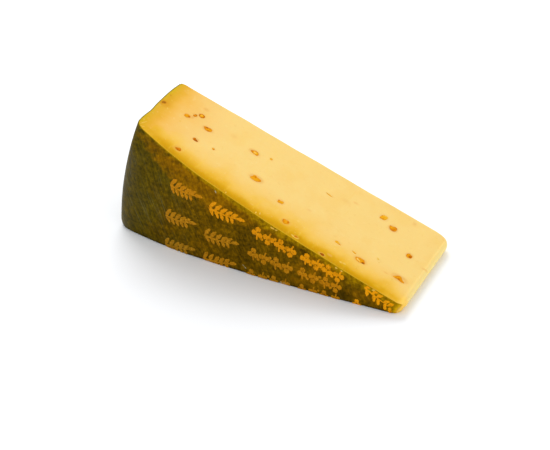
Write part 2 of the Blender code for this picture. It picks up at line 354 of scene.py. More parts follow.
# The seeds that the knife went through on the upper cut, from the rim to the tip: distance
# from the axis, distance from the back cut, and tone from 0 pale to 1 dark. Then, in
# millimetres towards the tip and towards the rind, the corners of the cut outline, and
# the marks on it: place, reach, and how much darker or paler.
UPPER_SEEDS = (
    (0.1134, 0.0157, 0.42, (
        (-1.1, -0.3), (-0.8, -0.8), (0.0, -1.1), (0.8, -0.8), (1.2, -0.1), (0.9, 0.4), (0.5, 0.4),
        (0.1, 0.9), (-0.5, 1.1), (-1.1, 0.7),
    ), ((0.8, -0.1, 0.6, 0.30),)),
    (0.1113, 0.0133, 0.60, (
        (-0.2, -1.0), (0.5, -0.9), (0.6, -0.1), (0.1, 0.7), (-0.6, 0.8), (-0.7, 0.1),
    ), ((-0.1, -0.8, 0.5, 0.25),)),
    (0.1095, 0.0115, 0.62, (
        (-1.1, -0.3), (-0.7, -1.0), (0.0, -1.2), (0.8, -1.0), (1.2, -0.3), (1.1, 0.5), (0.5, 1.1),
        (-0.3, 1.1), (-0.9, 0.7),
    ), ((0.0, 0.0, 0.9, -0.42), (-1.1, 0.7, 0.5, 0.30))),
    (0.1072, 0.0349, 0.62, (
        (0.2, -1.2), (0.7, -0.7), (1.0, -0.1), (0.8, 0.6), (0.0, 0.9), (-0.6, 0.5), (-1.4, -0.1),
        (-0.7, -0.5),
    ), ((0.0, 0.2, 0.7, 0.08),)),
    (0.1049, 0.0254, 0.68, (
        (-1.1, -0.8), (-0.5, -1.1), (-0.1, -0.5), (0.5, -0.3), (1.0, 0.0), (0.9, 0.5), (0.3, 0.6),
        (-0.5, 0.7), (-1.2, 0.3),
    ), ((0.1, 0.0, 0.8, 0.20), (-0.8, -0.2, 0.7, -0.06))),
    (0.1042, 0.0164, 0.48, (
        (-2.0, -0.5), (-1.3, -0.9), (-0.4, -1.0), (0.4, -1.2), (1.6, -1.1), (1.6, -0.2), (1.1, 0.9),
        (0.2, 1.2), (-0.8, 1.0), (-1.5, 0.2),
    ), ((-0.8, -0.5, 0.6, 0.35), (0.4, -0.4, 0.8, -0.06))),
    (0.0980, 0.0247, 0.40, ((-0.4, -0.4), (0.3, -0.5), (0.6, 0.1), (0.2, 0.6), (-0.4, 0.3)), ()),
    (0.0856, 0.0143, 0.52, (
        (-2.1, 0.0), (-1.0, -0.8), (-0.1, -1.3), (0.9, -0.9), (1.4, 0.3), (1.1, 1.1), (0.2, 1.0), (-0.8, 0.6),
    ), ((0.0, 0.05, 1.0, -0.45), (-0.4, -0.9, 0.6, 0.10))),
    (0.0797, 0.0127, 0.32, ((-0.5, -0.4), (0.3, -0.5), (0.6, 0.2), (0.0, 0.6), (-0.5, 0.2)), ()),
    (0.0792, 0.0269, 0.36, (
        (-1.5, -1.5), (-0.5, -1.7), (0.1, -0.9), (1.3, -1.0), (2.3, 0.0), (1.5, 0.9), (0.6, 1.4),
        (-0.8, 1.5), (-2.1, 1.0), (-1.9, 0.2), (-1.3, -0.5),
    ), ((-0.4, -0.6, 0.5, 0.42), (1.0, 0.1, 0.9, 0.06))),
    (0.0671, 0.0312, 0.40, (
        (-1.0, -0.9), (-0.2, -0.7), (0.9, -1.1), (1.2, -0.4), (0.9, 0.6), (0.2, 0.5), (-0.4, 0.9),
        (-1.0, 0.7),
    ), ((-0.8, -0.6, 0.5, 0.15),)),
    (0.0611, 0.0392, 0.42, (
        (-1.3, -0.8), (-0.6, -1.1), (0.0, -0.8), (0.5, -1.2), (1.1, -0.8), (1.3, 0.0), (0.9, 0.8),
        (0.2, 1.3), (-0.4, 1.2), (-1.0, 0.6),
    ), ((-1.2, -0.3, 0.6, 0.24), (0.8, -0.1, 0.6, 0.22), (-0.2, 0.3, 0.6, -0.06))),
    (0.0551, 0.0135, 0.28, (
        (-1.5, -0.4), (-0.5, -0.3), (0.6, 0.0), (1.6, 0.3), (0.5, 0.4), (-0.6, 0.1),
    ), ()),
    (0.0549, 0.0435, 0.70, (
        (-0.6, -0.4), (0.1, -0.5), (0.6, -0.1), (0.5, 0.4), (-0.2, 0.5), (-0.7, 0.2),
    ), ()),
    (0.0440, 0.0445, 0.88, (
        (-0.9, 0.0), (-0.3, -0.6), (0.4, -0.6), (0.8, 0.0), (0.5, 0.6), (-0.3, 0.5),
    ), ()),
    (0.0421, 0.0345, 0.28, (
        (-1.3, -0.4), (-0.6, -0.8), (0.2, -0.6), (0.6, 0.0), (1.3, 0.2), (1.3, 0.6), (0.5, 0.5),
        (-0.2, 0.4), (-1.0, 0.5),
    ), ((0.8, 0.35, 0.5, 0.22),)),
    (0.0356, 0.0345, 0.22, ((-1.0, -0.4), (0.0, -0.3), (0.9, 0.1), (0.6, 0.5), (-0.3, 0.2)), ()),
    (0.0346, 0.0086, 0.24, (
        (-0.9, -1.0), (-0.1, -1.4), (0.7, -1.3), (1.3, -1.1), (1.2, -0.2), (0.8, 0.9), (0.1, 1.6),
        (-0.5, 1.2), (-1.2, 1.9), (-1.5, 1.2), (-1.2, 0.1),
    ), ((-1.3, -0.3, 0.6, 0.40), (-1.1, 1.3, 0.8, 0.24), (-0.1, 0.9, 0.5, 0.22))),
    (0.0322, 0.0366, 0.48, (
        (-2.0, -0.6), (-1.2, -0.9), (-0.4, -1.3), (0.4, -1.2), (1.2, -1.2), (1.4, -0.3), (2.0, 0.4),
        (1.9, 1.1), (1.1, 0.8), (0.4, 1.2), (-0.5, 1.3), (-1.4, 0.9), (-2.0, 0.2),
    ), ((1.3, 0.7, 0.6, 0.60), (-1.1, 0.1, 0.6, -0.55), (-0.3, 0.5, 0.5, -0.55), (0.3, 0.9, 0.4, -0.4))),
    (0.0296, 0.0117, 0.52, (
        (-1.6, -1.0), (-0.8, -0.9), (0.0, -1.4), (0.8, -1.5), (1.3, -1.0), (1.3, 0.2), (1.1, 1.1),
        (0.2, 1.6), (-0.6, 1.2), (-1.2, 0.6), (-1.5, -0.3),
    ), ((-1.2, -0.2, 0.8, -0.12), (0.2, 0.1, 0.8, 0.08))),
    (0.0193, 0.0206, 0.50, (
        (-1.0, -0.8), (-0.3, -1.5), (0.2, -1.0), (0.9, -0.9), (1.1, 0.0), (1.0, 0.8), (0.3, 1.1),
        (-0.5, 1.3), (-1.0, 0.8), (-1.1, 0.0),
    ), ((0.4, 0.2, 0.7, 0.28), (-0.8, 0.3, 0.6, -0.10))),
    (0.0177, 0.0343, 0.46, (
        (0.0, -1.6), (0.6, -1.2), (0.9, -0.4), (1.6, 0.2), (2.7, 0.8), (2.5, 1.3), (1.4, 1.4), (0.5, 1.0),
        (-0.2, 0.6), (-1.0, 0.8), (-2.3, 0.9), (-2.2, 0.4), (-1.2, -0.4), (-0.7, -1.2),
    ), ((0.1, 0.3, 0.7, 0.20), (-1.1, 0.1, 0.8, -0.10), (1.5, 0.9, 0.7, 0.06))),
)

# Seeds that lie just under the upper cut and only tint it: distance from the axis and
# from the back cut, half their length, half their width, and strength.
BURIED_SEEDS = (
    (0.1117, 0.0149, 0.0009, 0.0012, 0.8),
    (0.1099, 0.0068, 0.0012, 0.0010, 0.8),
    (0.0458, 0.0098, 0.0010, 0.0005, 0.8),
    (0.0245, 0.0030, 0.0009, 0.0012, 0.6),
    (0.0268, 0.0315, 0.0013, 0.0008, 0.2),
    (0.0225, 0.0354, 0.0010, 0.0004, 0.8),
    (0.0123, 0.0228, 0.0012, 0.0004, 0.8),
    (0.0573, 0.0269, 0.0009, 0.0006, 0.4),
    (0.0418, 0.0426, 0.0007, 0.0004, 0.9),
    (0.0490, 0.0118, 0.0020, 0.0012, 0.3),
    (0.0955, 0.0122, 0.0014, 0.0012, 0.3),
)

# Brown stains in the dry paste by the rim, in the same terms.
RIM_STAINS = (
    (0.1233, 0.0158, 0.0013, 0.0015, 2.7),
    (0.1224, 0.0160, 0.0024, 0.0028, 0.9),
    (0.1233, 0.0103, 0.0006, 0.0005, 2.2),
    (0.1224, 0.0140, 0.0020, 0.0052, 0.4),
    (0.1236, 0.0172, 0.0012, 0.0013, 1.1),
)

# Pale scrapes that the knife dragged across the ochre: distance from the axis, where each
# starts and ends from the back cut, its lean, and strength.
KNIFE_SCRAPES = (
    (0.1097, 0.0305, 0.0385, 0.10, 0.40),
    (0.1017, 0.0340, 0.0385, 0.05, 0.32),
    (0.0977, 0.0305, 0.0395, 0.12, 0.42),
    (0.0940, 0.0370, 0.0400, 0.08, 0.35),
    (0.0846, 0.0355, 0.0430, 0.10, 0.35),
    (0.0800, 0.0395, 0.0425, 0.05, 0.30),
    (0.0726, 0.0330, 0.0435, 0.12, 0.45),
    (0.0690, 0.0400, 0.0438, 0.06, 0.40),
    (0.0581, 0.0405, 0.0455, 0.05, 0.38),
    (0.0543, 0.0355, 0.0435, 0.10, 0.40),
    (0.0480, 0.0400, 0.0450, 0.08, 0.35),
    (0.0420, 0.0375, 0.0415, 0.30, 0.22),
    (0.0305, 0.0420, 0.0450, 0.15, 0.20),
    (0.0205, 0.0405, 0.0440, 0.10, 0.22),
)


# The brown coat spreads past the kernel's corners, more along the knife's way than across.
SEED_SPREAD = (1.14, 1.07)


def seed_distance(radius, y, seed):
    """Distance from a seed's middle, where 1 is about its edge."""
    outline = np.array(seed[3]) * SEED_SPREAD * 0.001
    middle = (outline.max(axis=0) + outline.min(axis=0)) / 2
    half = (outline.max(axis=0) - outline.min(axis=0)) / 2
    towards_tip = seed[0] - radius - middle[0]
    towards_rind = -y - seed[1] - middle[1]
    return np.hypot(towards_tip / half[0], towards_rind / half[1])


# The seeds that the hidden cuts go through. Those in the back cut follow the solid's rule
# and draw. Those in the resting cut are flush with it, so the solid does without them.
BACK_SEED_COUNT = 15
FOOT_SEED_COUNT = 18
HIDDEN_SEED_LENGTH = 0.0030
BACK_SEED_MARGIN = 0.0032
FOOT_SEED_FIRST = 0.118
FOOT_SEED_SPAN = 0.100
BACK_SEED_DRAW = 31
FOOT_SEED_DRAW = 77


def hidden_seed_size(spread):
    """Length and width of one seed."""
    length = HIDDEN_SEED_LENGTH * spread.uniform(0.65, 1.2)
    return length, length * spread.uniform(0.6, 0.9)


def back_seeds():
    """The seeds in the back cut, from the rim to the tip: radius, angle, size and turn."""
    spread = random.Random(BACK_SEED_DRAW)
    first = rim_radius(0) - 2 * BACK_SEED_MARGIN
    last = 3 * BACK_SEED_MARGIN / math.sin(WEDGE_ANGLE)
    found = []
    for number in range(BACK_SEED_COUNT):
        radius = first + (last - first) * number / (BACK_SEED_COUNT - 1)
        lowest = BACK_SEED_MARGIN / radius
        angle = spread.uniform(lowest, WEDGE_ANGLE - lowest)
        turn = spread.uniform(0, math.pi)
        found.append((radius, angle, *hidden_seed_size(spread), turn))
    return found


def foot_seeds():
    """The seeds in the cut that the wedge lies on: radius, from the back, size and turn."""
    spread = random.Random(FOOT_SEED_DRAW)
    found = []
    for number in range(FOOT_SEED_COUNT):
        radius = FOOT_SEED_FIRST - FOOT_SEED_SPAN * number / (FOOT_SEED_COUNT - 1)
        from_back = spread.uniform(0.10, 0.88) * -face_y(radius)
        found.append((radius, from_back, *hidden_seed_size(spread), spread.uniform(0, 180)))
    return found


def set_inputs(made, inputs):
    """Sets a node's inputs: each to a plain value, or to the output that it is linked to."""
    for name, value in inputs.items():
        if isinstance(value, bpy.types.NodeSocket):
            made.id_data.links.new(value, made.inputs[name])
        else:
            made.inputs[name].default_value = value


def node(tree, kind, inputs, **settings):
    """Adds a node with its settings and its inputs."""
    made = tree.nodes.new(kind)
    for name, value in settings.items():
        setattr(made, name, value)
    set_inputs(made, inputs)
    return made


def tree_of(*values):
    """The node tree of the first value that is an output."""
    return next(value.id_data for value in values if isinstance(value, bpy.types.NodeSocket))


def calculate(operation, result, *others):
    """A value taken through a Math node with each of the others in turn."""
    for other in others:
        made = node(tree_of(result, other), "ShaderNodeMath", {0: result, 1: other}, operation=operation)
        result = made.outputs[0]
    return result


def times(*values):
    """The product of some values."""
    return calculate("MULTIPLY", *values)


def plus(*values):
    """The sum of some values."""
    return calculate("ADD", *values)


def weighted(*pairs):
    """The sum of some values, each times its weight."""
    return plus(*(times(value, weight) for value, weight in pairs))


def mixed(factor, first, second, blend="MIX"):
    """A colour between two others."""
    inputs = {0: factor, 6: first, 7: second}
    tree = tree_of(factor, first, second)
    return node(tree, "ShaderNodeMix", inputs, data_type="RGBA", blend_type=blend).outputs[2]


def from_to(value, low, high, to_low=0.0, to_high=1.0):
    """A value moved smoothly from one range to another."""
    inputs = {"Value": value, "From Min": low, "From Max": high, "To Min": to_low, "To Max": to_high}
    made = node(value.id_data, "ShaderNodeMapRange", inputs, interpolation_type="SMOOTHSTEP")
    return made.outputs["Result"]


def spread_over(cloud, to_low=0.0, to_high=1.0):
    """A cloud's usual range spread over another."""
    return from_to(cloud, 0.3, 0.7, to_low, to_high)


def shade(red, green, blue):
    """A colour as seen on a screen, from 0 to 255, turned to linear light."""
    parts = []
    for value in (red / 255, green / 255, blue / 255):
        parts.append(value / 12.92 if value <= 0.04045 else ((value + 0.055) / 1.055) ** 2.4)
    return (*parts, 1.0)


def colour_ramp(value, stops):
    """A colour that follows a value through stops: each a position and a screen colour."""
    made = node(value.id_data, "ShaderNodeValToRGB", {"Fac": value})
    elements = made.color_ramp.elements
    for element, (position, *colour) in zip(elements, (stops[0], stops[-1])):
        element.position, element.color = position, shade(*colour)
    for position, *colour in stops[1:-1]:
        elements.new(position).color = shade(*colour)
    return made.outputs["Color"]


def bumps(height, strength, distance):
    """The normals of a bumpy surface."""
    inputs = {"Height": height, "Strength": strength, "Distance": distance}
    return node(height.id_data, "ShaderNodeBump", inputs).outputs["Normal"]


def new_group(name, inputs, outputs):
    """An empty node group with named number inputs and outputs, and its two end nodes."""
    group = bpy.data.node_groups.new(name, "ShaderNodeTree")
    for label, value in inputs.items():
        kind = "NodeSocketVector" if label == "Place" else "NodeSocketFloat"
        socket = group.interface.new_socket(label, in_out="INPUT", socket_type=kind)
        if label != "Place":
            socket.default_value = value
    for label in outputs:
        group.interface.new_socket(label, in_out="OUTPUT", socket_type="NodeSocketFloat")
    return group, group.nodes.new("NodeGroupInput"), group.nodes.new("NodeGroupOutput")


def noise_node(tree, place, scale, detail, roughness):
    """A noise texture's value."""
    inputs = {"Vector": place, "Scale": scale, "Detail": detail, "Roughness": roughness}
    return node(tree, "ShaderNodeTexNoise", inputs).outputs["Fac"]


def make_clouds_group():
    """Soft clouds and small specks, for what is mottled."""
    group, given, result = new_group(
        "clouds_and_specks", {"Place": None, "Cloud Size": 0.01, "Speck Size": 0.001},
        ("Cloud", "Speck"),
    )
    for label, size, detail in (("Cloud", "Cloud Size", 3.0), ("Speck", "Speck Size", 2.0)):
        scale = calculate("DIVIDE", 1.0, given.outputs[size])
        set_inputs(result, {label: noise_node(group, given.outputs["Place"], scale, detail, 0.55)})
    return group


def make_strokes_group():
    """Long fine strokes that run one way, as a knife or a brush leaves them."""
    group, given, result = new_group(
        "fine_strokes", {"Place": None, "Width": 0.001, "Length": 0.02, "Lean": 0.0}, ("Stroke",)
    )
    given = given.outputs
    turning = {"Vector": given["Place"], "Angle": given["Lean"]}
    turned = node(group, "ShaderNodeVectorRotate", turning, rotation_type="Z_AXIS")
    split = node(group, "ShaderNodeSeparateXYZ", {"Vector": turned.outputs["Vector"]}).outputs
    stretched = node(group, "ShaderNodeCombineXYZ", {
        "X": calculate("DIVIDE", split["X"], given["Width"]),
        "Y": calculate("DIVIDE", split["Y"], given["Length"]),
        "Z": calculate("DIVIDE", split["Z"], given["Length"]),
    })
    set_inputs(result, {"Stroke": noise_node(group, stretched.outputs["Vector"], 1.0, 2.5, 0.6)})
    return group


clouds_group = make_clouds_group()
strokes_group = make_strokes_group()


def clouds_on(place, cloud_size, speck_size):
    """The cloud and the speck of the clouds group, placed in a material."""
    inputs = {"Place": place, "Cloud Size": cloud_size, "Speck Size": speck_size}
    made = node(place.id_data, "ShaderNodeGroup", inputs, node_tree=clouds_group)
    return made.outputs["Cloud"], made.outputs["Speck"]


def strokes_on(place, width, length, lean):
    """The strokes of the strokes group, placed in a material."""
    inputs = {"Place": place, "Width": width, "Length": length, "Lean": lean}
    return node(place.id_data, "ShaderNodeGroup", inputs, node_tree=strokes_group).outputs["Stroke"]


def stored(tree, name, output="Fac"):
    """What the piece stores for each vertex under a name."""
    return node(tree, "ShaderNodeAttribute", {}, attribute_name=name).outputs[output]


def new_material(name):
    """A material with its Principled shader and the place on the piece."""
    material = bpy.data.materials.new(name)
    material.use_nodes = True
    tree = material.node_tree
    place = node(tree, "ShaderNodeTexCoord", {}).outputs["Object"]
    return material, tree, tree.nodes["Principled BSDF"], place


def make_paste_material():
    """Pale paste that turns ochre towards the rind, with knife strokes, seed stains, and painted highlights
    on its back edge, tip wall and tip corner.
    """
    material, tree, shader, place = new_material("cheese_paste")
    cloud, speck = clouds_on(place, 0.014, 0.0016)
    strokes = strokes_on(place, 0.0010, 0.022, 0.08)

    # Both depths wander a little, so that the ochre has no ruled edge.
    wander = spread_over(cloud, 0.80, 1.25)
    front_depth = times(stored(tree, "front_depth"), wander)
    front = colour_ramp(front_depth, (
        (0.000, 222, 186, 50),
        (0.014, 206, 158, 8),
        (0.040, 194, 142, 0),
        (0.083, 198, 145, 0),
        (0.160, 209, 156, 4),
        (0.270, 226, 174, 44),
        (0.440, 234, 189, 84),
        (0.660, 236, 196, 108),
        (0.880, 237, 200, 118),
        (1.000, 237, 203, 123),
    ))
    rim = colour_ramp(times(stored(tree, "rim_depth"), wander), (
        (0.000, 188, 162, 10),
        (0.030, 207, 167, 16),
        (0.070, 214, 164, 24),
        (0.140, 222, 167, 44),
        (0.210, 231, 177, 72),
        (0.300, 234, 185, 94),
        (0.470, 235, 193, 110),
        (0.700, 236, 197, 117),
        (1.000, 237, 203, 123),
    ))
    colour = mixed(1.0, front, rim, "DARKEN")
    # The back edge and the tip's wall are painted paler, a painted highlight where light falls on the rounded
    # edge and on the wall.
    colour = mixed(stored(tree, "painted_edge_light"), colour, shade(249, 226, 148))
    # The tip's front corner is painted brighter, a painted highlight.
    colour = mixed(stored(tree, "painted_tip_light"), colour, shade(252, 206, 92))
    deep = from_to(front_depth, 0.10, 0.35)
    for flecks, tone in (
        (from_to(cloud, 0.38, 0.75, 0.0, 0.16), shade(236, 192, 100)),
        (from_to(speck, 0.60, 0.74, 0.0, 0.18), shade(240, 216, 150)),
        (from_to(speck, 0.38, 0.26, 0.0, 0.16), shade(222, 174, 84)),
    ):
        colour = mixed(times(deep, flecks), colour, tone)

    # Pale knife strokes show most on the dark paste close to the rind.
    drawn = times(from_to(strokes, 0.60, 0.74), from_to(front_depth, 0.75, 0.20, 0.10, 0.15))
    drawn = calculate("MAXIMUM", drawn, stored(tree, "scrape"))
    colour = mixed(drawn, colour, shade(236, 194, 64))
    stain = times(stored(tree, "stain"), from_to(speck, 0.3, 0.6, 0.6, 1.0))
    colour = mixed(stored(tree, "bruise"), colour, shade(238, 190, 106))
    colour = mixed(stain, colour, shade(200, 124, 18))
    colour = mixed(from_to(stain, 0.50, 1.10), colour, shade(150, 94, 2))
    set_inputs(shader, {
        "Base Color": colour,
        "Normal": bumps(weighted((strokes, 0.55), (speck, 0.45)), 0.22, 0.0004),
        "Roughness": spread_over(speck, 0.38, 0.56),
        "Specular IOR Level": 0.03,
        "Subsurface Weight": 0.12,
        "Subsurface Radius": (1.0, 0.60, 0.25),
        "Subsurface Scale": 0.0012,
    })
    return material


# Soft changes over the wedge: how strong each is, where it starts, and its reach, which is
# negative where it grows towards smaller values.
PALER_BY_RIM = (0.17, 0.106, 0.010)
PALER_BY_TIP = (0.22, 0.027, -0.010)
PALEST_AT_TIP = (0.16, 0.0148, -0.0034)
DEEPER_BY_TIP = (0.7, 0.021, -0.008)
RICHER_BY_FACE = (0.25, -0.026, -0.008)
# Painted highlight along the back edge and on the tip's wall: where each starts and ends.
PAINTED_LIGHT_BACK = (0.10, -0.0022, 0.0020)
PAINTED_LIGHT_BACK_END = (1.0, 0.122, -0.015)
PAINTED_LIGHT_TIP = (0.9, 0.0028, -0.0032)
PAINTED_LIGHT_TIP_END = (1.0, -0.0468, 0.006)
# Painted highlight at the tip's front corner: where it starts and ends.
PAINTED_LIGHT_CORNER = (0.75, 0.0036, -0.0026)
PAINTED_LIGHT_CORNER_END = (1.0, -0.0405, -0.003)

# The same round a seed, where 1 is its edge: the hollow under it, its stain and its bruise.
SEED_HOLLOW = (0.00009, 0.90, -0.35)
STAIN_EDGE = (1.35, -0.45)
BRUISE_EDGE = (2.05, -1.2)
BRUISE_STRENGTH = 0.9

# How far behind the flat face and the rim the ochre runs out, and how strongly seeds stain.
FRONT_RAMP_LENGTH = 0.018
RIM_RAMP_LENGTH = 0.030
SEED_STAIN = 0.30
PALE_SEED_STAIN = 0.12
PALE_SEED_TONE = 0.35
BURIED_STAIN = 0.42
SCRAPE_WIDTH = 0.00040
SCRAPE_FADE = 0.002
UPPER_SKIN = 0.0006
LOWER_SKIN = 0.0004

# Where the ochre reaches deeper behind the flat face, or less deep: distance from the axis,
# depth, reach along and across, and the change.
OCHRE_PATCHES = (
    (0.1185, 0.0070, 0.0035, 0.0025, -0.24),
    (0.1020, 0.0055, 0.0050, 0.0030, -0.22),
    (0.0905, 0.0042, 0.0035, 0.0020, 0.14),
    (0.0780, 0.0030, 0.0032, 0.0020, -0.24),
    (0.0690, 0.0065, 0.0050, 0.0030, 0.18),
    (0.0540, 0.0015, 0.0016, 0.0022, -0.45),
    (0.0450, 0.0032, 0.0048, 0.0018, -0.26),
    (0.0410, 0.0068, 0.0030, 0.0020, 0.22),
    (0.0330, 0.0050, 0.0045, 0.0025, 0.14),
    (0.0220, 0.0014, 0.0022, 0.0016, 0.60),
)


def change_over(value, strength, start, reach):
    """A soft change of some strength as a value passes its start."""
    return strength * soft_step((value - start) / reach)


def paste_depths(radius, y):
    """How deep the paste lies behind the flat face and behind the rim, by ramp length."""
    depth = y - face_y(radius)
    front = depth / FRONT_RAMP_LENGTH
    for radius_at, depth_at, along, across, change in OCHRE_PATCHES:
        away = np.hypot((radius - radius_at) / along, (depth - depth_at) / across)
        front = front * (1 + change * soft_step(1.4 - away))
    front = np.maximum(front, change_over(radius, *PALER_BY_RIM))
    front = front * (1 + change_over(radius, *DEEPER_BY_TIP))
    least = change_over(radius, *PALER_BY_TIP) + change_over(radius, *PALEST_AT_TIP)
    rim = (rim_radius(y) - radius) / RIM_RAMP_LENGTH * (1 - change_over(y, *RICHER_BY_FACE))
    return np.clip(np.maximum(front, least), 0, 1), np.clip(rim, 0, 1)


def paste_values(radius, y, places):
    """What the paste's material reads: depths, painted highlights on the back edge, the tip's wall and its
    front corner, stains, bruises and scrapes.
    """
    values = dict(zip(("front_depth", "rim_depth"), paste_depths(radius, y)))
    from_tip = radius - TIP_RADIUS
    # The back edge and the tip's wall get a painted highlight.
    back_edge = change_over(y, *PAINTED_LIGHT_BACK) * change_over(radius, *PAINTED_LIGHT_BACK_END)
    tip_wall = change_over(from_tip, *PAINTED_LIGHT_TIP) * change_over(y, *PAINTED_LIGHT_TIP_END)
    values["painted_edge_light"] = np.maximum(back_edge, tip_wall)
    # The tip's front corner gets a brighter painted highlight.
    values["painted_tip_light"] = change_over(from_tip, *PAINTED_LIGHT_CORNER) * change_over(y, *PAINTED_LIGHT_CORNER_END)

    upper = (places - np.array(WHEEL_AXIS)) @ np.array(CUT_NORMAL) > -UPPER_SKIN
    lower = places[:, 2] < LOWER_SKIN
    opened = []
    for seed in UPPER_SEEDS:
        strength = PALE_SEED_STAIN if seed[2] < PALE_SEED_TONE else SEED_STAIN
        opened.append((seed_distance(radius, y, seed), strength * upper))
    for seed_radius, from_back, length, width, _ in foot_seeds():
        away = np.hypot(radius - seed_radius, y + from_back) / ((length + width) / 4)
        opened.append((away, SEED_STAIN * lower))
    stains = [change_over(away, strength, *STAIN_EDGE) for away, strength in opened]
    bruises = [change_over(away, BRUISE_STRENGTH * strength, *BRUISE_EDGE) for away, strength in opened]
    for rows, bruised in ((BURIED_SEEDS, 0.5), (RIM_STAINS, 0.0)):
        for radius_at, from_back, half_length, half_width, strength in rows:
            away = np.hypot((radius - radius_at) / half_length, (y + from_back) / half_width)
            stains.append(BURIED_STAIN * strength * soft_step(1.25 - away) * upper)
            bruises.append(bruised * strength * soft_step((2.0 - away) / 1.2) * upper)
    scrapes = []
    for radius_at, first, last, lean, strength in KNIFE_SCRAPES:
        middle = radius_at + lean * (-y - (first + last) / 2)
        across = soft_step(1 - np.abs(radius - middle) / SCRAPE_WIDTH)
        ends = soft_step((-y - first) / SCRAPE_FADE) * soft_step((last + y) / SCRAPE_FADE)
        scrapes.append(strength * across * ends * upper)
    for name, found in (("stain", stains), ("bruise", bruises), ("scrape", scrapes)):
        values[name] = np.max(found, axis=0)
    return values


def build_paste():
    """The wedge of paste: its skin in loops, and a net of points on each long cut."""
    plans, places = (list(found) for found in zip(*paste_loops()))
    length = len(plans[0])
    top = len(plans) - 1
    skin = np.arange((top + 1) * length).reshape(-1, length)
    faces = [quads(np.column_stack((skin, skin[:, 0])))]
    count = skin.size
    for loop, angle in ((0, 0.0), (top, WEDGE_ANGLE)):
        plan = face_net(plans[loop])[1:-1, 1:-1].reshape(-1, 2)
        radius, y = plan.T
        spots = on_cut(radius, y, angle)
        from_edge = np.minimum(np.minimum(-y, y - face_y(radius)), rim_radius(y) - radius)
        if loop == top:
            dip = knife_unevenness(radius, y) * soft_step(from_edge / EDGE_SETTLE) - CUT_SINK
            for seed in UPPER_SEEDS:
                dip = dip - change_over(seed_distance(radius, y, seed), *SEED_HOLLOW)
            spots = spots + np.array(CUT_NORMAL) * dip[:, None]
        else:
            spots[:, 2] += RESTING_CUT_LIFT * soft_step((from_edge - RESTING_CUT_START) / EDGE_SETTLE)
        faces.append(quads(net_numbers(count, loop * length)))
        plans.append(plan)
        places.append(spots)
        count += len(plan)

    places = np.vstack(places)
    piece = make_piece("paste", places, np.vstack(faces), make_paste_material())
    give_values(piece, **paste_values(*np.vstack(plans).T, places))
    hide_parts("cheese_wedge")


build_paste()


# The seeds: fenugreek, hard four-sided grains of 2 to 4 mm stirred into the curd.
# The knife cut them level with the paste, so each shows a thin brown coat round a yellow
# kernel. Some are split along their furrow, and some tore and left a small hollow.

LENS_RINGS = 8
LENS_SIDES = 40
OUTLINE_CORNERS = 11
LENS_ROOT = 0.00006
SEED_CROWN = 0.00006
BACK_SEED_SINK = 0.00004
FOOT_SEED_SINK = 0.00010
UPPER_AXES = (CUT_NORMAL, -CUT_SLOPE, Vector((0, -1, 0)))


def on_upper_cut(radius, from_back):
    """A place on the upper cut, with the dip that the knife left there."""
    dip = float(knife_unevenness(radius, -from_back)) - CUT_SINK
    return Vector(on_cut(radius, -from_back, WEDGE_ANGLE)[0]) + CUT_NORMAL * dip


def smooth_outline(corners):
    """Evenly spaced points round a softened outline that is given in millimetres."""
    points = np.array(tuple(corners) + tuple(corners)[:1], float) * 0.001
    whole = run_lengths(points)[-1]
    points = along_line(points, np.arange(LENS_SIDES) / LENS_SIDES * whole)
    for _ in range(2):
        points = (np.roll(points, 1, axis=0) + 2 * points + np.roll(points, -1, axis=0)) / 4
    return points


def drawn_outline(draw, length, width, turn, ragged=0.22):
    """The corners of an uneven oval outline, in millimetres."""
    corners = []
    for number in range(OUTLINE_CORNERS):
        angle = math.tau * number / OUTLINE_CORNERS
        reach = 500 * (1 + ragged * draw.uniform(-1, 1))
        x = reach * length * math.cos(angle)
        y = reach * width * math.sin(angle)
        corners.append((x * math.cos(turn) - y * math.sin(turn), x * math.sin(turn) + y * math.cos(turn)))
    return corners


def add_lens(spots, faces, place, axes, outline, crown, draw):
    """Adds a low dome over an outline, and gives its flat points and how far out each is."""
    facing, right, down = axes
    offset = Vector((draw.uniform(-50, 50), draw.uniform(-50, 50), 0))
    points = smooth_outline(outline)
    flat = [(0.0, 0.0, 0.0)]
    for ring in range(1, LENS_RINGS + 1):
        part = ring / LENS_RINGS
        flat.extend((x * part, y * part, part) for x, y in points)
    start = len(spots)
    for x, y, part in flat:
        grain = 0.4 * noise.noise(Vector((x * 1800, y * 1800, 0)) + offset)
        height = crown * (1 - part ** 2 + grain * (1 - part)) - (LENS_ROOT if part == 1 else 0.0)
        spots.append(place + right * x + down * y + facing * height)
    for side in range(LENS_SIDES):
        following = (side + 1) % LENS_SIDES
        faces.append((start, start + 1 + side, start + 1 + following))
        for ring in range(LENS_RINGS - 1):
            inner = start + 1 + ring * LENS_SIDES
            outer = inner + LENS_SIDES
            faces.append((inner + side, outer + side, outer + following, inner + following))
    last = len(spots) - 1
    faces.append(tuple(range(last, last - LENS_SIDES, -1)))
    return flat


def make_seed_material():
    """Amber kernel in a browner coat that blends into the paste at its edge."""
    material, tree, shader, place = new_material("cut_seed")
    cloud, speck = clouds_on(place, 0.0010, 0.00036)
    edge = plus(stored(tree, "rim"), spread_over(cloud, -0.10, 0.10))
    tone = plus(
        stored(tree, "tone"),
        spread_over(cloud, -0.09, 0.09),
        spread_over(speck, 0.10, -0.10),
        from_to(edge, 0.60, 0.86, 0.0, 0.13),
    )
    colour = colour_ramp(tone, (
        (0.00, 238, 194, 112),
        (0.20, 234, 176, 34),
        (0.40, 226, 152, 8),
        (0.60, 212, 124, 4),
        (0.80, 184, 96, 1),
        (1.00, 126, 60, 0),
    ))
    set_inputs(shader, {
        "Base Color": mixed(from_to(edge, 0.88, 1.04, 0.0, 0.6), colour, shade(230, 162, 44)),
        "Normal": bumps(speck, 0.3, 0.00010),
        "Roughness": spread_over(cloud, 0.52, 0.72),
        "Specular IOR Level": 0.02,
    })
    return material


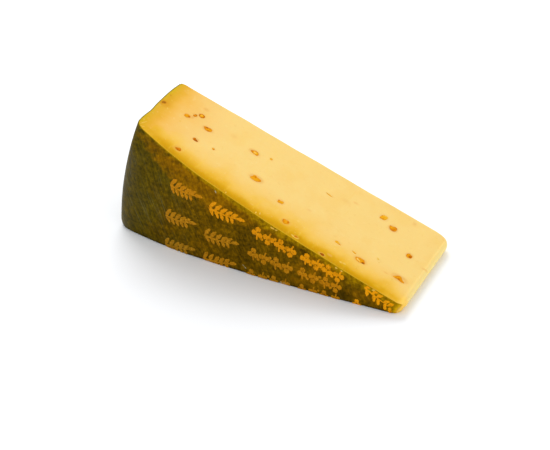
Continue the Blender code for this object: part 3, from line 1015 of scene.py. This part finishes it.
def build_seeds():
    """All cut seeds as one piece, on the upper cut, the back cut and the resting cut."""
    draw = random.Random(20)
    spots, faces, rim, tones = [], [], [], []

    def lay(place, axes, tone, outline, marks):
        for x, y, part in add_lens(spots, faces, place, axes, outline, SEED_CROWN, draw):
            value = tone
            for mark_x, mark_y, reach, change in marks:
                away = math.hypot(x * 1000 - mark_x, y * 1000 - mark_y) / reach
                value += change * max(0.0, 1 - away ** 2)
            rim.append(part)
            tones.append(min(1.0, max(0.0, value)))

    for radius, from_back, tone, corners, marks in UPPER_SEEDS:
        outline = np.array(corners) * SEED_SPREAD
        lay(on_upper_cut(radius, from_back), UPPER_AXES, tone, outline, marks)
    hidden = []
    for radius, angle, *size in back_seeds():
        hidden.append((on_cut(radius, 0.0, angle)[0], Vector((0, 1, 0)), BACK_SEED_SINK, *size))
    for radius, from_back, *size in foot_seeds():
        hidden.append((on_cut(radius, -from_back, 0.0)[0], Vector((0, 0, -1)), FOOT_SEED_SINK, *size))
    right = Vector((1, 0, 0))
    for spot, facing, sunk, length, width, turn in hidden:
        outline = drawn_outline(draw, length, width, turn)
        mark = (draw.uniform(-0.8, 0.8), draw.uniform(-0.8, 0.8), 0.8, draw.choice((-0.4, 0.2, 0.35)))
        axes = (facing, right, facing.cross(right))
        lay(Vector(spot) - facing * sunk, axes, draw.uniform(0.3, 0.65), outline, (mark,))
    piece = make_piece("cut_seeds", spots, faces, make_seed_material())
    give_values(piece, rim=rim, tone=tones)


build_seeds()


# The rind: the wheel's dry skin under a thin coat of dark green wax, brushed on.
# It wraps the flat face and the rim, half a millimetre thick, and the knife cut it off
# level with the paste. It ends in a ragged edge just before the blunt tip.

RIND_COLUMNS = 330
RIND_WALL_STEPS = 84
RIND_THICKNESS = 0.00050
RIND_RELIEF = 0.00006
BRUSH_WAY = (0.86, 0.52)
RAGGED_END = (0.00035, 0.00015)
RIND_SKIN_GAP = 0.00003
RIND_END_GAP = 0.0002
RIND_FOOT_EDGE = 0.0008
# How high the painted contact shade along the rind's foot reaches.
RIND_FOOT_PAINTED_SHADE = 0.0007
RIND_FOOT_GAP = 0.00002
RIND_TOP_GAP = 0.00003
WAX_STEPS = (0.00, 0.30, 0.52, 0.75, 1.00)


def rind_relief(places):
    """How far the wax dips at places on it: soft dents, and fine slanting brush marks."""
    along, across = BRUSH_WAY
    depths = []
    for place in places:
        spot = Vector(place)
        dents = noise.noise(spot * 160) + 0.6 * noise.noise(spot * 420)
        slant = (spot.x * along + spot.z * across, spot.y, (spot.z * along - spot.x * across) * 0.12)
        depths.append(0.5 + 0.25 * dents + 0.25 * noise.noise(Vector(slant) * 900))
    return RIND_RELIEF * np.clip(depths, 0, 1)


def rind_line(tip_radius, height_part):
    """The rind's line over the flat face and round the rim, as (radius, y) points."""
    front, rim, _, _ = outline_sides(tip_radius)
    line = np.vstack((front, rim[1:]))
    run = run_lengths(line)
    coarse, fine = RAGGED_END
    ragged = coarse * noise.noise(Vector((height_part * 6, 3, 1)))
    ragged += fine * noise.noise(Vector((height_part * 21, 7, 2)))
    start_radius = RIND_START + RIND_START_SLANT * (1 - height_part) + ragged
    start = np.interp(start_radius, front[:, 0], run[:len(front)])
    return along_line(line, np.linspace(start, run[-1] - RIND_END_GAP, RIND_COLUMNS + 1))


def line_inward(points):
    """The direction into the outline at each point of an open line."""
    along = np.gradient(points, axis=0)
    along /= np.linalg.norm(along, axis=1)[:, None]
    return np.column_stack((-along[:, 1], along[:, 0]))


def rind_row(part, inset, above, below, relief):
    """One row of places along the rind, at a part of the height between two gaps."""
    points = rind_line(tip_radius_at(part), part)
    directions = line_inward(points)
    angle = angle_at(part, points[:, 0], above, below)
    shift = inset + RIND_SKIN_GAP - wheel_unevenness(*points.T, angle)
    moved = points + directions * shift[:, None]
    if relief:
        moved = moved + directions * rind_relief(on_cut(*moved.T, angle))[:, None]
    return on_cut(*moved.T, angle)


def rind_thickness_at(part):
    """The uneven thickness that shows where the knife cut the rind."""
    uneven = noise.noise(Vector((part * 60, 0, 5))) + 0.5 * noise.noise(Vector((part * 170, 0, 9)))
    return RIND_THICKNESS * (1 + 0.35 * uneven)


# Where the rind differs from its usual green brown: distance from the axis, height above
# the floor, reach along and up, then how rusty, how lime and how dark it is there.
RIND_PATCHES = (
    (0.1205, 0.0405, 0.0035, 0.0026, 0.35, 0.20, 0.00),
    (0.1165, 0.0393, 0.0045, 0.0020, 0.60, 0.00, 0.00),
    (0.1140, 0.0380, 0.0055, 0.0026, 0.70, 0.00, 0.00),
    (0.1070, 0.0350, 0.0080, 0.0034, 0.85, 0.00, 0.00),
    (0.1010, 0.0325, 0.0090, 0.0044, 0.85, 0.00, 0.00),
    (0.0920, 0.0292, 0.0100, 0.0050, 0.90, 0.00, 0.00),
    (0.0850, 0.0262, 0.0080, 0.0055, 0.90, 0.00, 0.00),
    (0.0740, 0.0228, 0.0080, 0.0040, 0.75, 0.25, 0.00),
    (0.0640, 0.0195, 0.0080, 0.0026, 0.60, 0.00, 0.00),
    (0.0660, 0.0235, 0.0080, 0.0030, 0.00, 0.80, 0.00),
    (0.0560, 0.0205, 0.0060, 0.0020, 0.00, 0.60, 0.00),
    (0.0490, 0.0165, 0.0035, 0.0020, 0.20, 0.00, 0.60),
    (0.0410, 0.0125, 0.0110, 0.0040, 0.75, 0.00, 0.00),
    (0.0700, 0.0130, 0.0040, 0.0090, 0.10, 0.00, 0.45),
    (0.0900, 0.0090, 0.0200, 0.0080, 0.20, 0.00, 0.05),
    (0.0430, 0.0060, 0.0120, 0.0060, 0.50, 0.00, 0.00),
    (0.0260, 0.0040, 0.0060, 0.0030, 0.45, 0.00, 0.00),
    (0.0330, 0.0025, 0.0045, 0.0025, 0.20, 0.00, 0.60),
    (0.0320, 0.0065, 0.0060, 0.0030, 0.20, 0.00, 0.00),
    (0.0270, 0.0090, 0.0060, 0.0030, 0.00, 0.75, 0.00),
    (0.0190, 0.0045, 0.0060, 0.0050, 0.45, 0.10, 0.00),
    (0.0128, 0.0030, 0.0032, 0.0060, 0.00, 1.00, 0.00),
)

# How strong the lime band below the cut is, how it fades towards the rim, and how far it
# reaches: distance from the axis, reach.
LIME_STRENGTH = 0.85
LIME_FADE = (0.35, 0.094, 0.012)
LIME_BAND = (
    (0.010, 0.0040),
    (0.020, 0.0038),
    (0.032, 0.0030),
    (0.045, 0.0020),
    (0.055, 0.0026),
    (0.066, 0.0034),
    (0.078, 0.0020),
    (0.090, 0.0012),
    (0.108, 0.0010),
    (0.118, 0.0012),
    (0.122, 0.0008),
    (0.126, 0.0005),
)


def rind_tints(radius, height, below_cut):
    """How rusty and how lime the rind is at places on it, and how deep its tone: in patches, and as painted
    shade along its foot.
    """
    tints = []
    for which in (4, 5, 6):
        tint = np.zeros(len(radius))
        for patch in RIND_PATCHES:
            away = np.hypot((radius - patch[0]) / patch[2], (height - patch[1]) / patch[3])
            tint = np.maximum(tint, patch[which] * soft_step(1.35 - away))
        tints.append(tint)
    reaches = np.array(LIME_BAND)
    reach = np.interp(radius, reaches[:, 0], reaches[:, 1])
    strength = LIME_STRENGTH - change_over(radius, *LIME_FADE)
    tints[1] = np.maximum(tints[1], strength * soft_step(1.25 - below_cut / reach))
    # Along its foot the rind is painted darker, a painted contact shade where it meets the floor.
    tints[2] = np.maximum(tints[2], soft_step(1.5 - height / RIND_FOOT_PAINTED_SHADE))
    return tints


def make_rind_material():
    """Dark green wax over brown skin: clouds, slanting brush marks, scuff lines, a painted sheen at the rim's
    corner, and cut edge.
    """
    material, tree, shader, place = new_material("green_rind")
    skin = stored(tree, "skin_place", "Vector")
    cloud, patch = clouds_on(skin, 0.012, 0.0034)
    grain, fine = clouds_on(skin, 0.0014, 0.00055)
    marks = strokes_on(skin, 0.00070, 0.0050, 0.54)
    scratches = strokes_on(skin, 0.00045, 0.0180, 0.56)
    run = stored(tree, "run")

    # One mottled value sets how light the wax is, whatever its tint.
    mottle = weighted((cloud, 0.30), (patch, 0.36), (grain, 0.90), (fine, 0.30), (marks, 0.80))
    mottle = times(from_to(mottle, 0.78, 1.86, -0.5, 0.5), from_to(run, 0.10, 0.50, 0.78, 1.0))
    # The stored darkness holds dark patches in the wax and, along the foot, painted contact shade.
    darker = times(stored(tree, "dark"), from_to(patch, 0.3, 0.6, 0.7, 1.0), -0.45)
    mottle = plus(mottle, 0.5, darker)

    def wax(*tones):
        """A wax colour that follows the mottle, from dark to light."""
        return colour_ramp(mottle, [(step, *tone) for step, tone in zip(WAX_STEPS, tones)])

    face = wax((52, 38, 1), (80, 58, 0), (100, 72, 0), (124, 89, 0), (158, 114, 2))
    side = wax((48, 42, 6), (68, 57, 4), (84, 69, 4), (100, 82, 5), (128, 106, 10))
    rusty = wax((98, 63, 1), (118, 79, 0), (134, 91, 0), (150, 103, 0), (176, 126, 2))
    lime = wax((96, 70, 1), (134, 101, 0), (162, 123, 0), (184, 141, 0), (206, 162, 6))

    # The flat face's wax turns to the rim's, and rust and lime patches have ragged edges.
    wandering = plus(run, spread_over(cloud, -0.05, 0.05))
    colour = mixed(from_to(wandering, 0.50, 0.72), face, side)
    ragged = spread_over(patch, -0.20, 0.20)
    for name, start, strength, tint in (("rust", 0.05, 1.0, rusty), ("lime", 0.25, 0.85, lime)):
        amount = stored(tree, name)
        mask = times(from_to(plus(amount, ragged), start, 1.0), from_to(amount, 0.0, 0.3), strength)
        colour = mixed(mask, colour, tint)

    # At its torn end by the tip the skin is bare of wax.
    colour = mixed(from_to(run, 0.014, 0.002, 0.0, 0.85), colour, shade(236, 184, 10))

    # Low round the rim's corner the wax is painted grey, a painted sheen of the bright surroundings reflected
    # in it.
    low = from_to(stored(tree, "height"), 0.88, 0.62)
    painted_sheen = times(from_to(wandering, 0.68, 0.78, 0.0, 0.34), from_to(run, 0.98, 0.82, 0.4, 1.0), low)
    colour = mixed(painted_sheen, colour, shade(48, 48, 32))
    # Light scuff lines there are partly scratches in the wax and partly painted sheen.
    scuffs_and_sheen = times(from_to(scratches, 0.58, 0.68), from_to(run, 0.50, 0.76, 0.08, 0.62), low)
    colour = mixed(scuffs_and_sheen, colour, shade(112, 108, 68))

    # On the cut edge the wax is a thin green line above the pale dried skin.
    cut = stored(tree, "cut")
    on_rim = from_to(run, 0.745, 0.765)
    line_tone = mixed(on_rim, shade(176, 136, 2), shade(104, 94, 2))
    skin_tone = mixed(on_rim, shade(216, 182, 52), shade(190, 158, 14))
    skin_tone = mixed(from_to(run, 0.16, 0.04), skin_tone, shade(226, 172, 78))
    colour = mixed(cut, colour, line_tone)
    inner_skin = times(cut, from_to(stored(tree, "inner_skin"), 0.15, 0.60))
    sheen = times(from_to(run, 0.70, 0.78), from_to(run, 0.92, 0.80, 0.25, 1.0), low)
    set_inputs(shader, {
        "Base Color": mixed(inner_skin, colour, skin_tone),
        "Normal": bumps(weighted((grain, 0.5), (marks, 0.7), (scratches, 0.5)), 0.55, 0.00035),
        "Roughness": spread_over(grain, 0.30, 0.52),
        "Specular IOR Level": from_to(sheen, 0.0, 1.0, 0.012, 0.09),
    })
    return material


def rind_rows(thickness):
    """The rind's rows: part of the height, inset, gap above the floor, gap below the cut,
    whether its relief shows, and how much cut wax and cut skin lies there."""
    foot = RIND_FOOT_EDGE
    rows = [
        (0, foot * 0.6 + thickness, RIND_FOOT_GAP, 0, False, 1.0, 1.0),
        (0, foot * 0.6, RIND_FOOT_GAP, 0, False, 0.0, 0.0),
        (0, foot * 0.4, foot * 0.1, 0, False, 0.0, 0.0),
        (0, foot * 0.2, foot * 0.3, 0, False, 0.0, 0.0),
        (0, foot * 0.05, foot * 0.65, 0, False, 0.0, 0.0),
    ]
    for part in np.linspace(0, 1, RIND_WALL_STEPS + 1):
        rows.append((part, 0, foot, CRISP_EDGE, True, 0.0, 0.0))
    for turn in (math.radians(30), math.radians(60)):
        inset, below = CRISP_EDGE * (1 - math.cos(turn)), CRISP_EDGE * (1 - math.sin(turn))
        rows.append((1, inset, 0, below, False, 0.4, 0.0))
    rows += [
        (1, CRISP_EDGE * 0.8, 0, 0, False, 1.0, 0.0),
        (1, (CRISP_EDGE * 0.8 + thickness) / 2, 0, 0, False, 1.0, 0.5),
        (1, thickness, 0, RIND_TOP_GAP, False, 1.0, 1.0),
    ]
    return rows + [(part, RIND_THICKNESS, 0, 0, False, 1.0, 1.0) for part in np.linspace(0.98, 0.02, 6)]


def build_rind():
    """The rind as one closed strip: out along the foot, up, over the cut edge and back."""
    parts = np.linspace(0, 1, RIND_COLUMNS + 1)
    rows = rind_rows(np.array([rind_thickness_at(part) for part in parts]))
    places = np.vstack([rind_row(*row[:5]) for row in rows])
    numbers = np.arange(len(places)).reshape(len(rows), -1)
    faces = [*quads(np.vstack((numbers, numbers[:1]))), numbers[:, 0], numbers[::-1, -1]]
    piece = make_piece("rind", places, faces, make_rind_material())
    with opened(piece.data) as shape:
        bmesh.ops.triangulate(shape, faces=[face for face in shape.faces if len(face.verts) > 4])

    line = rind_line(TIP_RADIUS, 1.0)
    radius = np.tile(line[:, 0], len(rows))
    height, cut, skin = (np.repeat([row[column] for row in rows], len(parts)) for column in (0, 5, 6))
    up = height * WEDGE_ANGLE * radius
    along = np.tile(run_lengths(line), len(rows))
    attribute = piece.data.attributes.new("skin_place", "FLOAT_VECTOR", "POINT")
    attribute.data.foreach_set("vector", np.column_stack((-along, -up, 0 * up)).ravel().astype(np.float32))
    torn_end = np.tile(0.8 * soft_step(1 - parts * RIND_COLUMNS / 2), len(rows))
    rust, lime, dark = rind_tints(radius, places[:, 2], WEDGE_ANGLE * radius - up)
    give_values(
        piece,
        height=height,
        cut=np.maximum(cut, torn_end),
        inner_skin=np.maximum(skin, torn_end),
        run=np.tile(parts, len(rows)),
        rust=rust,
        lime=lime,
        dark=dark,
    )


build_rind()


# The ornament: three rows of leaf sprigs and clovers that point at the wheel's middle.
# They were printed in amber food ink on the flat face, and the knife cut through the
# outermost ones. The ink stands a hair's breadth off the wax and is worn in places.

INK_LIFT = 0.00002
INK_ROOT = 0.00016
INK_PROFILE = ((-1.0, INK_ROOT), (-0.86, INK_LIFT), (0.0, INK_LIFT), (0.86, INK_LIFT), (1.0, INK_ROOT))
INK_SHAKE = 0.00010
INK_LEAST_WIDTH = 0.00002
INK_TRIM = 0.00012
CLOVER_PITCH = 0.0044


def on_flat_face(radius, angle, depth):
    """Places below the skin of the wheel's flat face."""
    step = 0.00001
    slope = (face_y(radius + step) - face_y(radius - step)) / (2 * step)
    size = np.hypot(1, slope)
    sunk = depth - wheel_unevenness(radius, face_y(radius), angle)
    return on_cut(radius - slope / size * sunk, face_y(radius) + sunk / size, angle)


def leaf(start, turn, length, half_width):
    """A pointed leaf, as a line and its half widths."""
    start = np.array(start)
    end = start + length * np.array((math.cos(turn), math.sin(turn)))
    middle = start + 0.55 * length * np.array((math.cos(turn + 0.25), math.sin(turn + 0.25)))
    part = np.linspace(0, 1, 13)
    return bent(start, middle, end), half_width * np.sin(np.pi * part ** 0.85) ** 0.75


def dot(place, radius):
    """A round dot, as a line and its half widths."""
    part = np.linspace(-1, 1, 13)
    line = np.column_stack((place[0] + radius * part, place[1] + 0 * part))
    return line, radius * np.sqrt(np.clip(1 - part ** 2, 0, 1))


def stem(start, middle, end, half_width):
    """A stem that tapers to its end, as a line and its half widths."""
    part = np.linspace(0, 1, 13)
    widths = half_width * (1 - 0.5 * part) * np.clip(part * 12, 0, 1)
    widths[-1] = 0
    return bent(start, middle, end), widths


def sprig(length, height):
    """A stem with paired leaves and a bud."""
    middle, end = (0.5 * length, -0.30 * height), (0.9 * length, 0.10 * height)
    strokes = [stem((0, -0.34 * height), middle, end, 0.00050)]
    spine = strokes[0][0]
    for number, part in enumerate((1, 3, 5, 7, 9)):
        size = 0.62 * height * (1 - 0.05 * number)
        strokes.append(leaf(spine[part], math.radians(68 - 4 * number), size, 0.00082))
        strokes.append(leaf(spine[part], math.radians(-44 - 2 * number), 0.72 * size, 0.00074))
    strokes.append(leaf(spine[11], math.radians(20), 0.50 * height, 0.00082))
    return strokes


def clovers(length, height):
    """A row of three-leaved clovers with dots between them."""
    strokes = []
    count = round(length / CLOVER_PITCH)
    for number in range(count):
        way = 1 if number % 2 == 0 else -1
        x, y = (number + 0.5) * length / count, 0.05 * height * way
        for turn in (90, 205, 335):
            angle = math.radians(turn) * way
            reach = 0.25 * height
            strokes.append(dot((x + reach * math.cos(angle), y + reach * math.sin(angle)), 0.225 * height))
        foot = (x + 0.10 * height, y - 0.62 * height * way)
        strokes.append(stem((x, y), (x, y - 0.3 * height * way), foot, 0.105 * height))
        if number < count - 1:
            strokes.append(dot(((number + 1) * length / count, -0.26 * height * way), 0.13 * height))
    return strokes


def twig(length, height):
    """A stem with broad paired leaves."""
    strokes = [stem((0, 0.04 * height), (0.5 * length, -0.06 * height), (length, 0.02 * height), 0.00042)]
    for number, part in enumerate((1, 4, 6, 9, 11)):
        x, y = strokes[0][0][part]
        size = 0.56 * height * (1 - 0.04 * number)
        strokes.append(leaf((x, y), math.radians(52), size, 0.00074))
        strokes.append(leaf((x + 0.0006, y), math.radians(-58), size, 0.00074))
    return strokes


# Each motif: its kind, the middle of its place (distance from the axis, angle from the
# floor), its length, its height, its turn in degrees, and how bright its ink is.
PRINTED_MOTIFS = (
    ("sprig", 0.0986, 15.8, 0.0128, 0.0074, -5, 0.36),
    ("sprig", 0.0815, 16.2, 0.0138, 0.0074, -5, 0.70),
    ("clovers", 0.0611, 15.5, 0.0180, 0.0052, 0, 0.66),
    ("clovers", 0.0420, 15.6, 0.0172, 0.0050, 0, 0.76),
    ("sprig", 0.0983, 8.4, 0.0126, 0.0070, -5, 0.18),
    ("sprig", 0.0812, 8.2, 0.0138, 0.0070, -5, 0.18),
    ("clovers", 0.0610, 7.7, 0.0180, 0.0050, 0, 0.28),
    ("clovers", 0.0419, 8.0, 0.0174, 0.0048, 0, 0.36),
    ("sprig", 0.0980, 1.5, 0.0128, 0.0064, -4, 0.02),
    ("sprig", 0.0812, 1.5, 0.0138, 0.0062, -4, 0.22),
    ("clovers", 0.0612, 0.3, 0.0178, 0.0044, 0, 0.18),
    ("clovers", 0.0417, 0.3, 0.0172, 0.0040, 0, 0.26),
    ("twig", 0.0206, 14.4, 0.0118, 0.0056, -15, 0.92),
    ("clovers", 0.0272, 0.5, 0.0048, 0.0040, 0, 0.80),
)


def make_ink_material():
    """Amber ink that is worn and specked where the wax stands through it."""
    material, tree, shader, place = new_material("amber_ink")
    cloud, speck = clouds_on(place, 0.0022, 0.00055)
    colour = colour_ramp(stored(tree, "brightness"), (
        (0.0, 158, 112, 16),
        (0.3, 182, 120, 8),
        (0.6, 216, 138, 4),
        (1.0, 246, 162, 4),
    ))
    colour = mixed(from_to(cloud, 0.52, 0.70, 0.0, 0.45), colour, shade(132, 88, 2))
    colour = mixed(from_to(speck, 0.56, 0.68, 0.0, 0.45), colour, shade(112, 76, 2))
    colour = mixed(from_to(speck, 0.42, 0.32, 0.0, 0.40), colour, shade(240, 176, 40))
    set_inputs(shader, {
        "Base Color": colour,
        "Normal": bumps(speck, 0.35, 0.0002),
        "Roughness": spread_over(cloud, 0.42, 0.60),
        "Specular IOR Level": 0.03,
    })
    return material


def build_print():
    """All motifs as one thin piece, cut off at the upper cut and at the floor."""
    draw = random.Random(5)
    kinds = {"sprig": sprig, "clovers": clovers, "twig": twig}
    across, profile = np.array(INK_PROFILE).T
    spots, faces, brightness = [], [], []
    for kind, radius, angle, length, height, turn, bright in PRINTED_MOTIFS:
        turned = math.radians(turn)
        for line, widths in kinds[kind](length, height):
            line = line + np.array((draw.uniform(-1, 1), draw.uniform(-1, 1))) * INK_SHAKE
            uneven = 1 + 0.16 * np.sin(np.arange(len(line)) * draw.uniform(0.8, 1.6) + draw.uniform(0, 6))
            widths = np.maximum(widths * uneven, INK_LEAST_WIDTH)
            depth = np.tile(profile + draw.uniform(0, INK_LIFT / 2), (len(line), 1))
            depth[[0, -1]] = INK_ROOT
            ink = line[:, None] + line_inward(line)[:, None] * (across * widths[:, None])[:, :, None]
            ink = ink - (length / 2, 0)
            x = ink[:, :, 0] * math.cos(turned) - ink[:, :, 1] * math.sin(turned)
            up = ink[:, :, 0] * math.sin(turned) + ink[:, :, 1] * math.cos(turned)
            spot_radius = np.hypot(radius - x, up)
            spot_angle = math.radians(angle) + np.arctan2(up, radius - x)
            faces.append(quads(len(brightness) + np.arange(depth.size).reshape(depth.shape)))
            spots.append(on_flat_face(spot_radius.ravel(), spot_angle.ravel(), depth.ravel()))
            brightness += [bright] * depth.size
    piece = make_piece("print", np.vstack(spots), np.vstack(faces), make_ink_material())
    give_values(piece, brightness=brightness)
    with opened(piece.data) as shape:
        for place, outward in (
            (WHEEL_AXIS - CUT_NORMAL * INK_TRIM, CUT_NORMAL),
            (Vector((0, 0, INK_TRIM)), Vector((0, 0, -1))),
        ):
            whole = shape.verts[:] + shape.edges[:] + shape.faces[:]
            bmesh.ops.bisect_plane(shape, geom=whole, plane_co=place, plane_no=outward, clear_outer=True)
        for face in shape.faces:
            if face.normal.y > 0:
                face.normal_flip()


build_print()


# The crumbs: flakes and smears of paste that the knife dragged along. Some stuck to the
# upper cut, some hang over the rind's upper edge, and a few dry white ones sit on the wax.

CRUMB_STEEPNESS = 0.14
CRUMB_RAGGED = 0.40
CRUMB_DEPTHS = (0.00005, 0.00105)

# On the upper cut: distance from the axis and from the back cut, length, width and turn.
CUT_CRUMBS = (
    (0.1232, 0.0318, 0.0040, 0.0006, -68),
    (0.1226, 0.0341, 0.0020, 0.0009, -20),
    (0.1216, 0.0126, 0.0008, 0.0006, 20),
    (0.1207, 0.0178, 0.0010, 0.0006, 60),
    (0.1221, 0.0068, 0.0006, 0.0005, 0),
    (0.1140, 0.0205, 0.0007, 0.0005, 40),
    (0.0840, 0.0423, 0.0014, 0.0005, 85),
    (0.0712, 0.0436, 0.0020, 0.0006, 80),
    (0.0700, 0.0425, 0.0016, 0.0005, 75),
    (0.0562, 0.0418, 0.0008, 0.0006, 30),
    (0.0372, 0.0430, 0.0018, 0.0011, 10),
    (0.0360, 0.0426, 0.0015, 0.0010, 50),
    (0.0331, 0.0410, 0.0009, 0.0006, 0),
    (0.0318, 0.0413, 0.0010, 0.0006, 60),
    (0.0316, 0.0399, 0.0009, 0.0005, 20),
    (0.0275, 0.0310, 0.0014, 0.0009, 40),
    (0.0195, 0.0367, 0.0008, 0.0006, 10),
    (0.0265, 0.0325, 0.0006, 0.0004, 70),
)

# On the rind: distance from the axis, height as a part of the wedge's angle, length, width,
# turn, and 1 where it is dry and white.
RIND_CRUMBS = (
    (0.0634, 0.968, 0.0015, 0.0008, 0, 0.0),
    (0.0619, 0.975, 0.0012, 0.0007, 10, 0.0),
    (0.0372, 0.960, 0.0013, 0.0006, 5, 0.0),
    (0.0352, 0.965, 0.0010, 0.0005, 0, 0.0),
    (0.0225, 0.945, 0.0012, 0.0006, 20, 0.0),
    (0.0873, 0.955, 0.0013, 0.0004, -50, 1.0),
    (0.0710, 0.113, 0.0015, 0.0004, -35, 1.0),
    (0.0702, 0.090, 0.0007, 0.0004, -20, 1.0),
    (0.0562, 0.028, 0.0011, 0.0005, 0, 1.0),
    (0.0549, 0.030, 0.0008, 0.0004, 10, 1.0),
)

# The pale smear round the seed nearest the rind: its corners, as for the seeds.
SMEAR_PLACE = (0.0551, 0.0435)
SMEAR_CROWN = 0.00004
SMEAR_SINK = 0.00007
SMEAR_CORNERS = (
    (-2.0, -0.3), (-1.2, 0.2), (-0.6, 0.6), (0.2, 0.7), (1.0, 0.3), (1.5, 0.0), (1.5, 0.5), (0.7, 1.0),
    (-0.2, 1.1), (-1.1, 0.9), (-1.8, 0.3),
)


def make_crumb_material():
    """Pale moist paste, or white where it dried."""
    material, tree, shader, place = new_material("paste_crumb")
    cloud, speck = clouds_on(place, 0.0009, 0.00030)
    moist = mixed(spread_over(cloud), shade(222, 172, 48), shade(233, 192, 92))
    white = mixed(spread_over(cloud), shade(130, 122, 84), shade(184, 176, 140))
    set_inputs(shader, {
        "Base Color": mixed(stored(tree, "dried"), moist, white),
        "Normal": bumps(speck, 0.4, 0.0001),
        "Roughness": spread_over(cloud, 0.40, 0.60),
        "Specular IOR Level": 0.02,
    })
    return material


def build_crumbs():
    """All crumbs as one piece."""
    draw = random.Random(8)
    spots, faces, dried = [], [], []

    def lay(place, axes, outline, crown, dry):
        flat = add_lens(spots, faces, place, axes, outline, crown, draw)
        dried.extend([dry] * len(flat))

    for radius, from_back, length, width, turn in CUT_CRUMBS:
        outline = drawn_outline(draw, length, width, math.radians(turn), CRUMB_RAGGED)
        lay(on_upper_cut(radius, from_back), UPPER_AXES, outline, CRUMB_STEEPNESS * width / 2, 0.0)
    facing, right, down = UPPER_AXES
    radius, from_back = SMEAR_PLACE
    middle = np.mean(SMEAR_CORNERS, axis=0)
    place = Vector(on_cut(radius, -from_back, WEDGE_ANGLE)[0]) - facing * SMEAR_SINK
    place = place + (right * middle[0] + down * middle[1]) * 0.001
    lay(place, UPPER_AXES, np.array(SMEAR_CORNERS) - middle, SMEAR_CROWN, 0.0)
    for radius, part, length, width, turn, dry in RIND_CRUMBS:
        angle = WEDGE_ANGLE * part
        place, under = (Vector(on_flat_face(radius, angle, depth)[0]) for depth in CRUMB_DEPTHS)
        facing = (place - under).normalized()
        towards_axis = Vector((math.cos(angle), 0, -math.sin(angle)))
        right = (towards_axis - facing * towards_axis.dot(facing)).normalized()
        outline = drawn_outline(draw, length, width, math.radians(turn), CRUMB_RAGGED)
        lay(place, (facing, right, facing.cross(right)), outline, CRUMB_STEEPNESS * width, dry)
    piece = make_piece("crumbs", spots, faces, make_crumb_material())
    give_values(piece, dried=dried)


build_crumbs()


# The floor, the lights and the camera: a wide pale floor, one broad soft light above and a little
# behind with a weak fill from the right, and a view down on the wedge from its rind side.

FLOOR_REACH = 6.0
FLOOR_GAP = 0.00002


def make_floor():
    """A wide pale floor."""
    material, _, shader, place = new_material("pale_floor")
    cloud, _ = clouds_on(place, 0.5, 0.01)
    set_inputs(shader, {
        "Base Color": mixed(spread_over(cloud), (0.935, 0.953, 0.975, 1), (0.945, 0.963, 0.985, 1)),
        "Roughness": 0.9,
        "Specular IOR Level": 0.1,
    })
    mesh = bpy.data.meshes.new("floor")
    with opened(mesh) as shape:
        bmesh.ops.create_grid(shape, x_segments=8, y_segments=8, size=FLOOR_REACH)
    mesh.materials.append(material)
    floor = bpy.data.objects.new("floor", mesh)
    floor.location = (0, 0, -FLOOR_GAP)
    bpy.context.scene.collection.objects.link(floor)


def aimed(name, data, place, way):
    """Puts a lamp or a camera at a place, facing one way."""
    made = bpy.data.objects.new(name, data)
    made.location = place
    made.rotation_mode = "QUATERNION"
    made.rotation_quaternion = Vector(way).to_track_quat("-Z", "Y")
    bpy.context.scene.collection.objects.link(made)
    return made


def add_light(name, place, size, watts):
    """A square soft light that faces the wedge."""
    light = bpy.data.lights.new(name, "AREA")
    light.shape = "SQUARE"
    light.size = size
    light.energy = watts
    aimed(name, light, place, -Vector(place))


make_floor()
add_light("soft_above", (-0.52, 0.70, 0.80), 0.8, 8.25)
add_light("fill", (0.95, -0.10, 0.35), 0.6, 0.9)

world = bpy.data.worlds.new("studio")
bpy.context.scene.world = world
world.use_nodes = True
set_inputs(world.node_tree.nodes["Background"], {"Color": (1, 1, 1, 1), "Strength": 0.84})
bpy.context.scene.view_settings.view_transform = "Standard"

VIEW_LENS = 144
VIEW_DISTANCE = 0.7526
VIEW_AZIMUTH = math.radians(-24.11)
VIEW_ELEVATION = math.radians(32.28)
VIEW_TARGET = WHEEL_AXIS + Vector((-0.0575, -0.0475, 0.0250))

camera_data = bpy.data.cameras.new("view")
camera_data.lens = VIEW_LENS
camera_data.sensor_width = 36
looking = Vector((
    math.sin(VIEW_AZIMUTH) * math.cos(VIEW_ELEVATION),
    math.cos(VIEW_AZIMUTH) * math.cos(VIEW_ELEVATION),
    -math.sin(VIEW_ELEVATION),
))
bpy.context.scene.camera = aimed("view", camera_data, VIEW_TARGET - looking * VIEW_DISTANCE, looking)
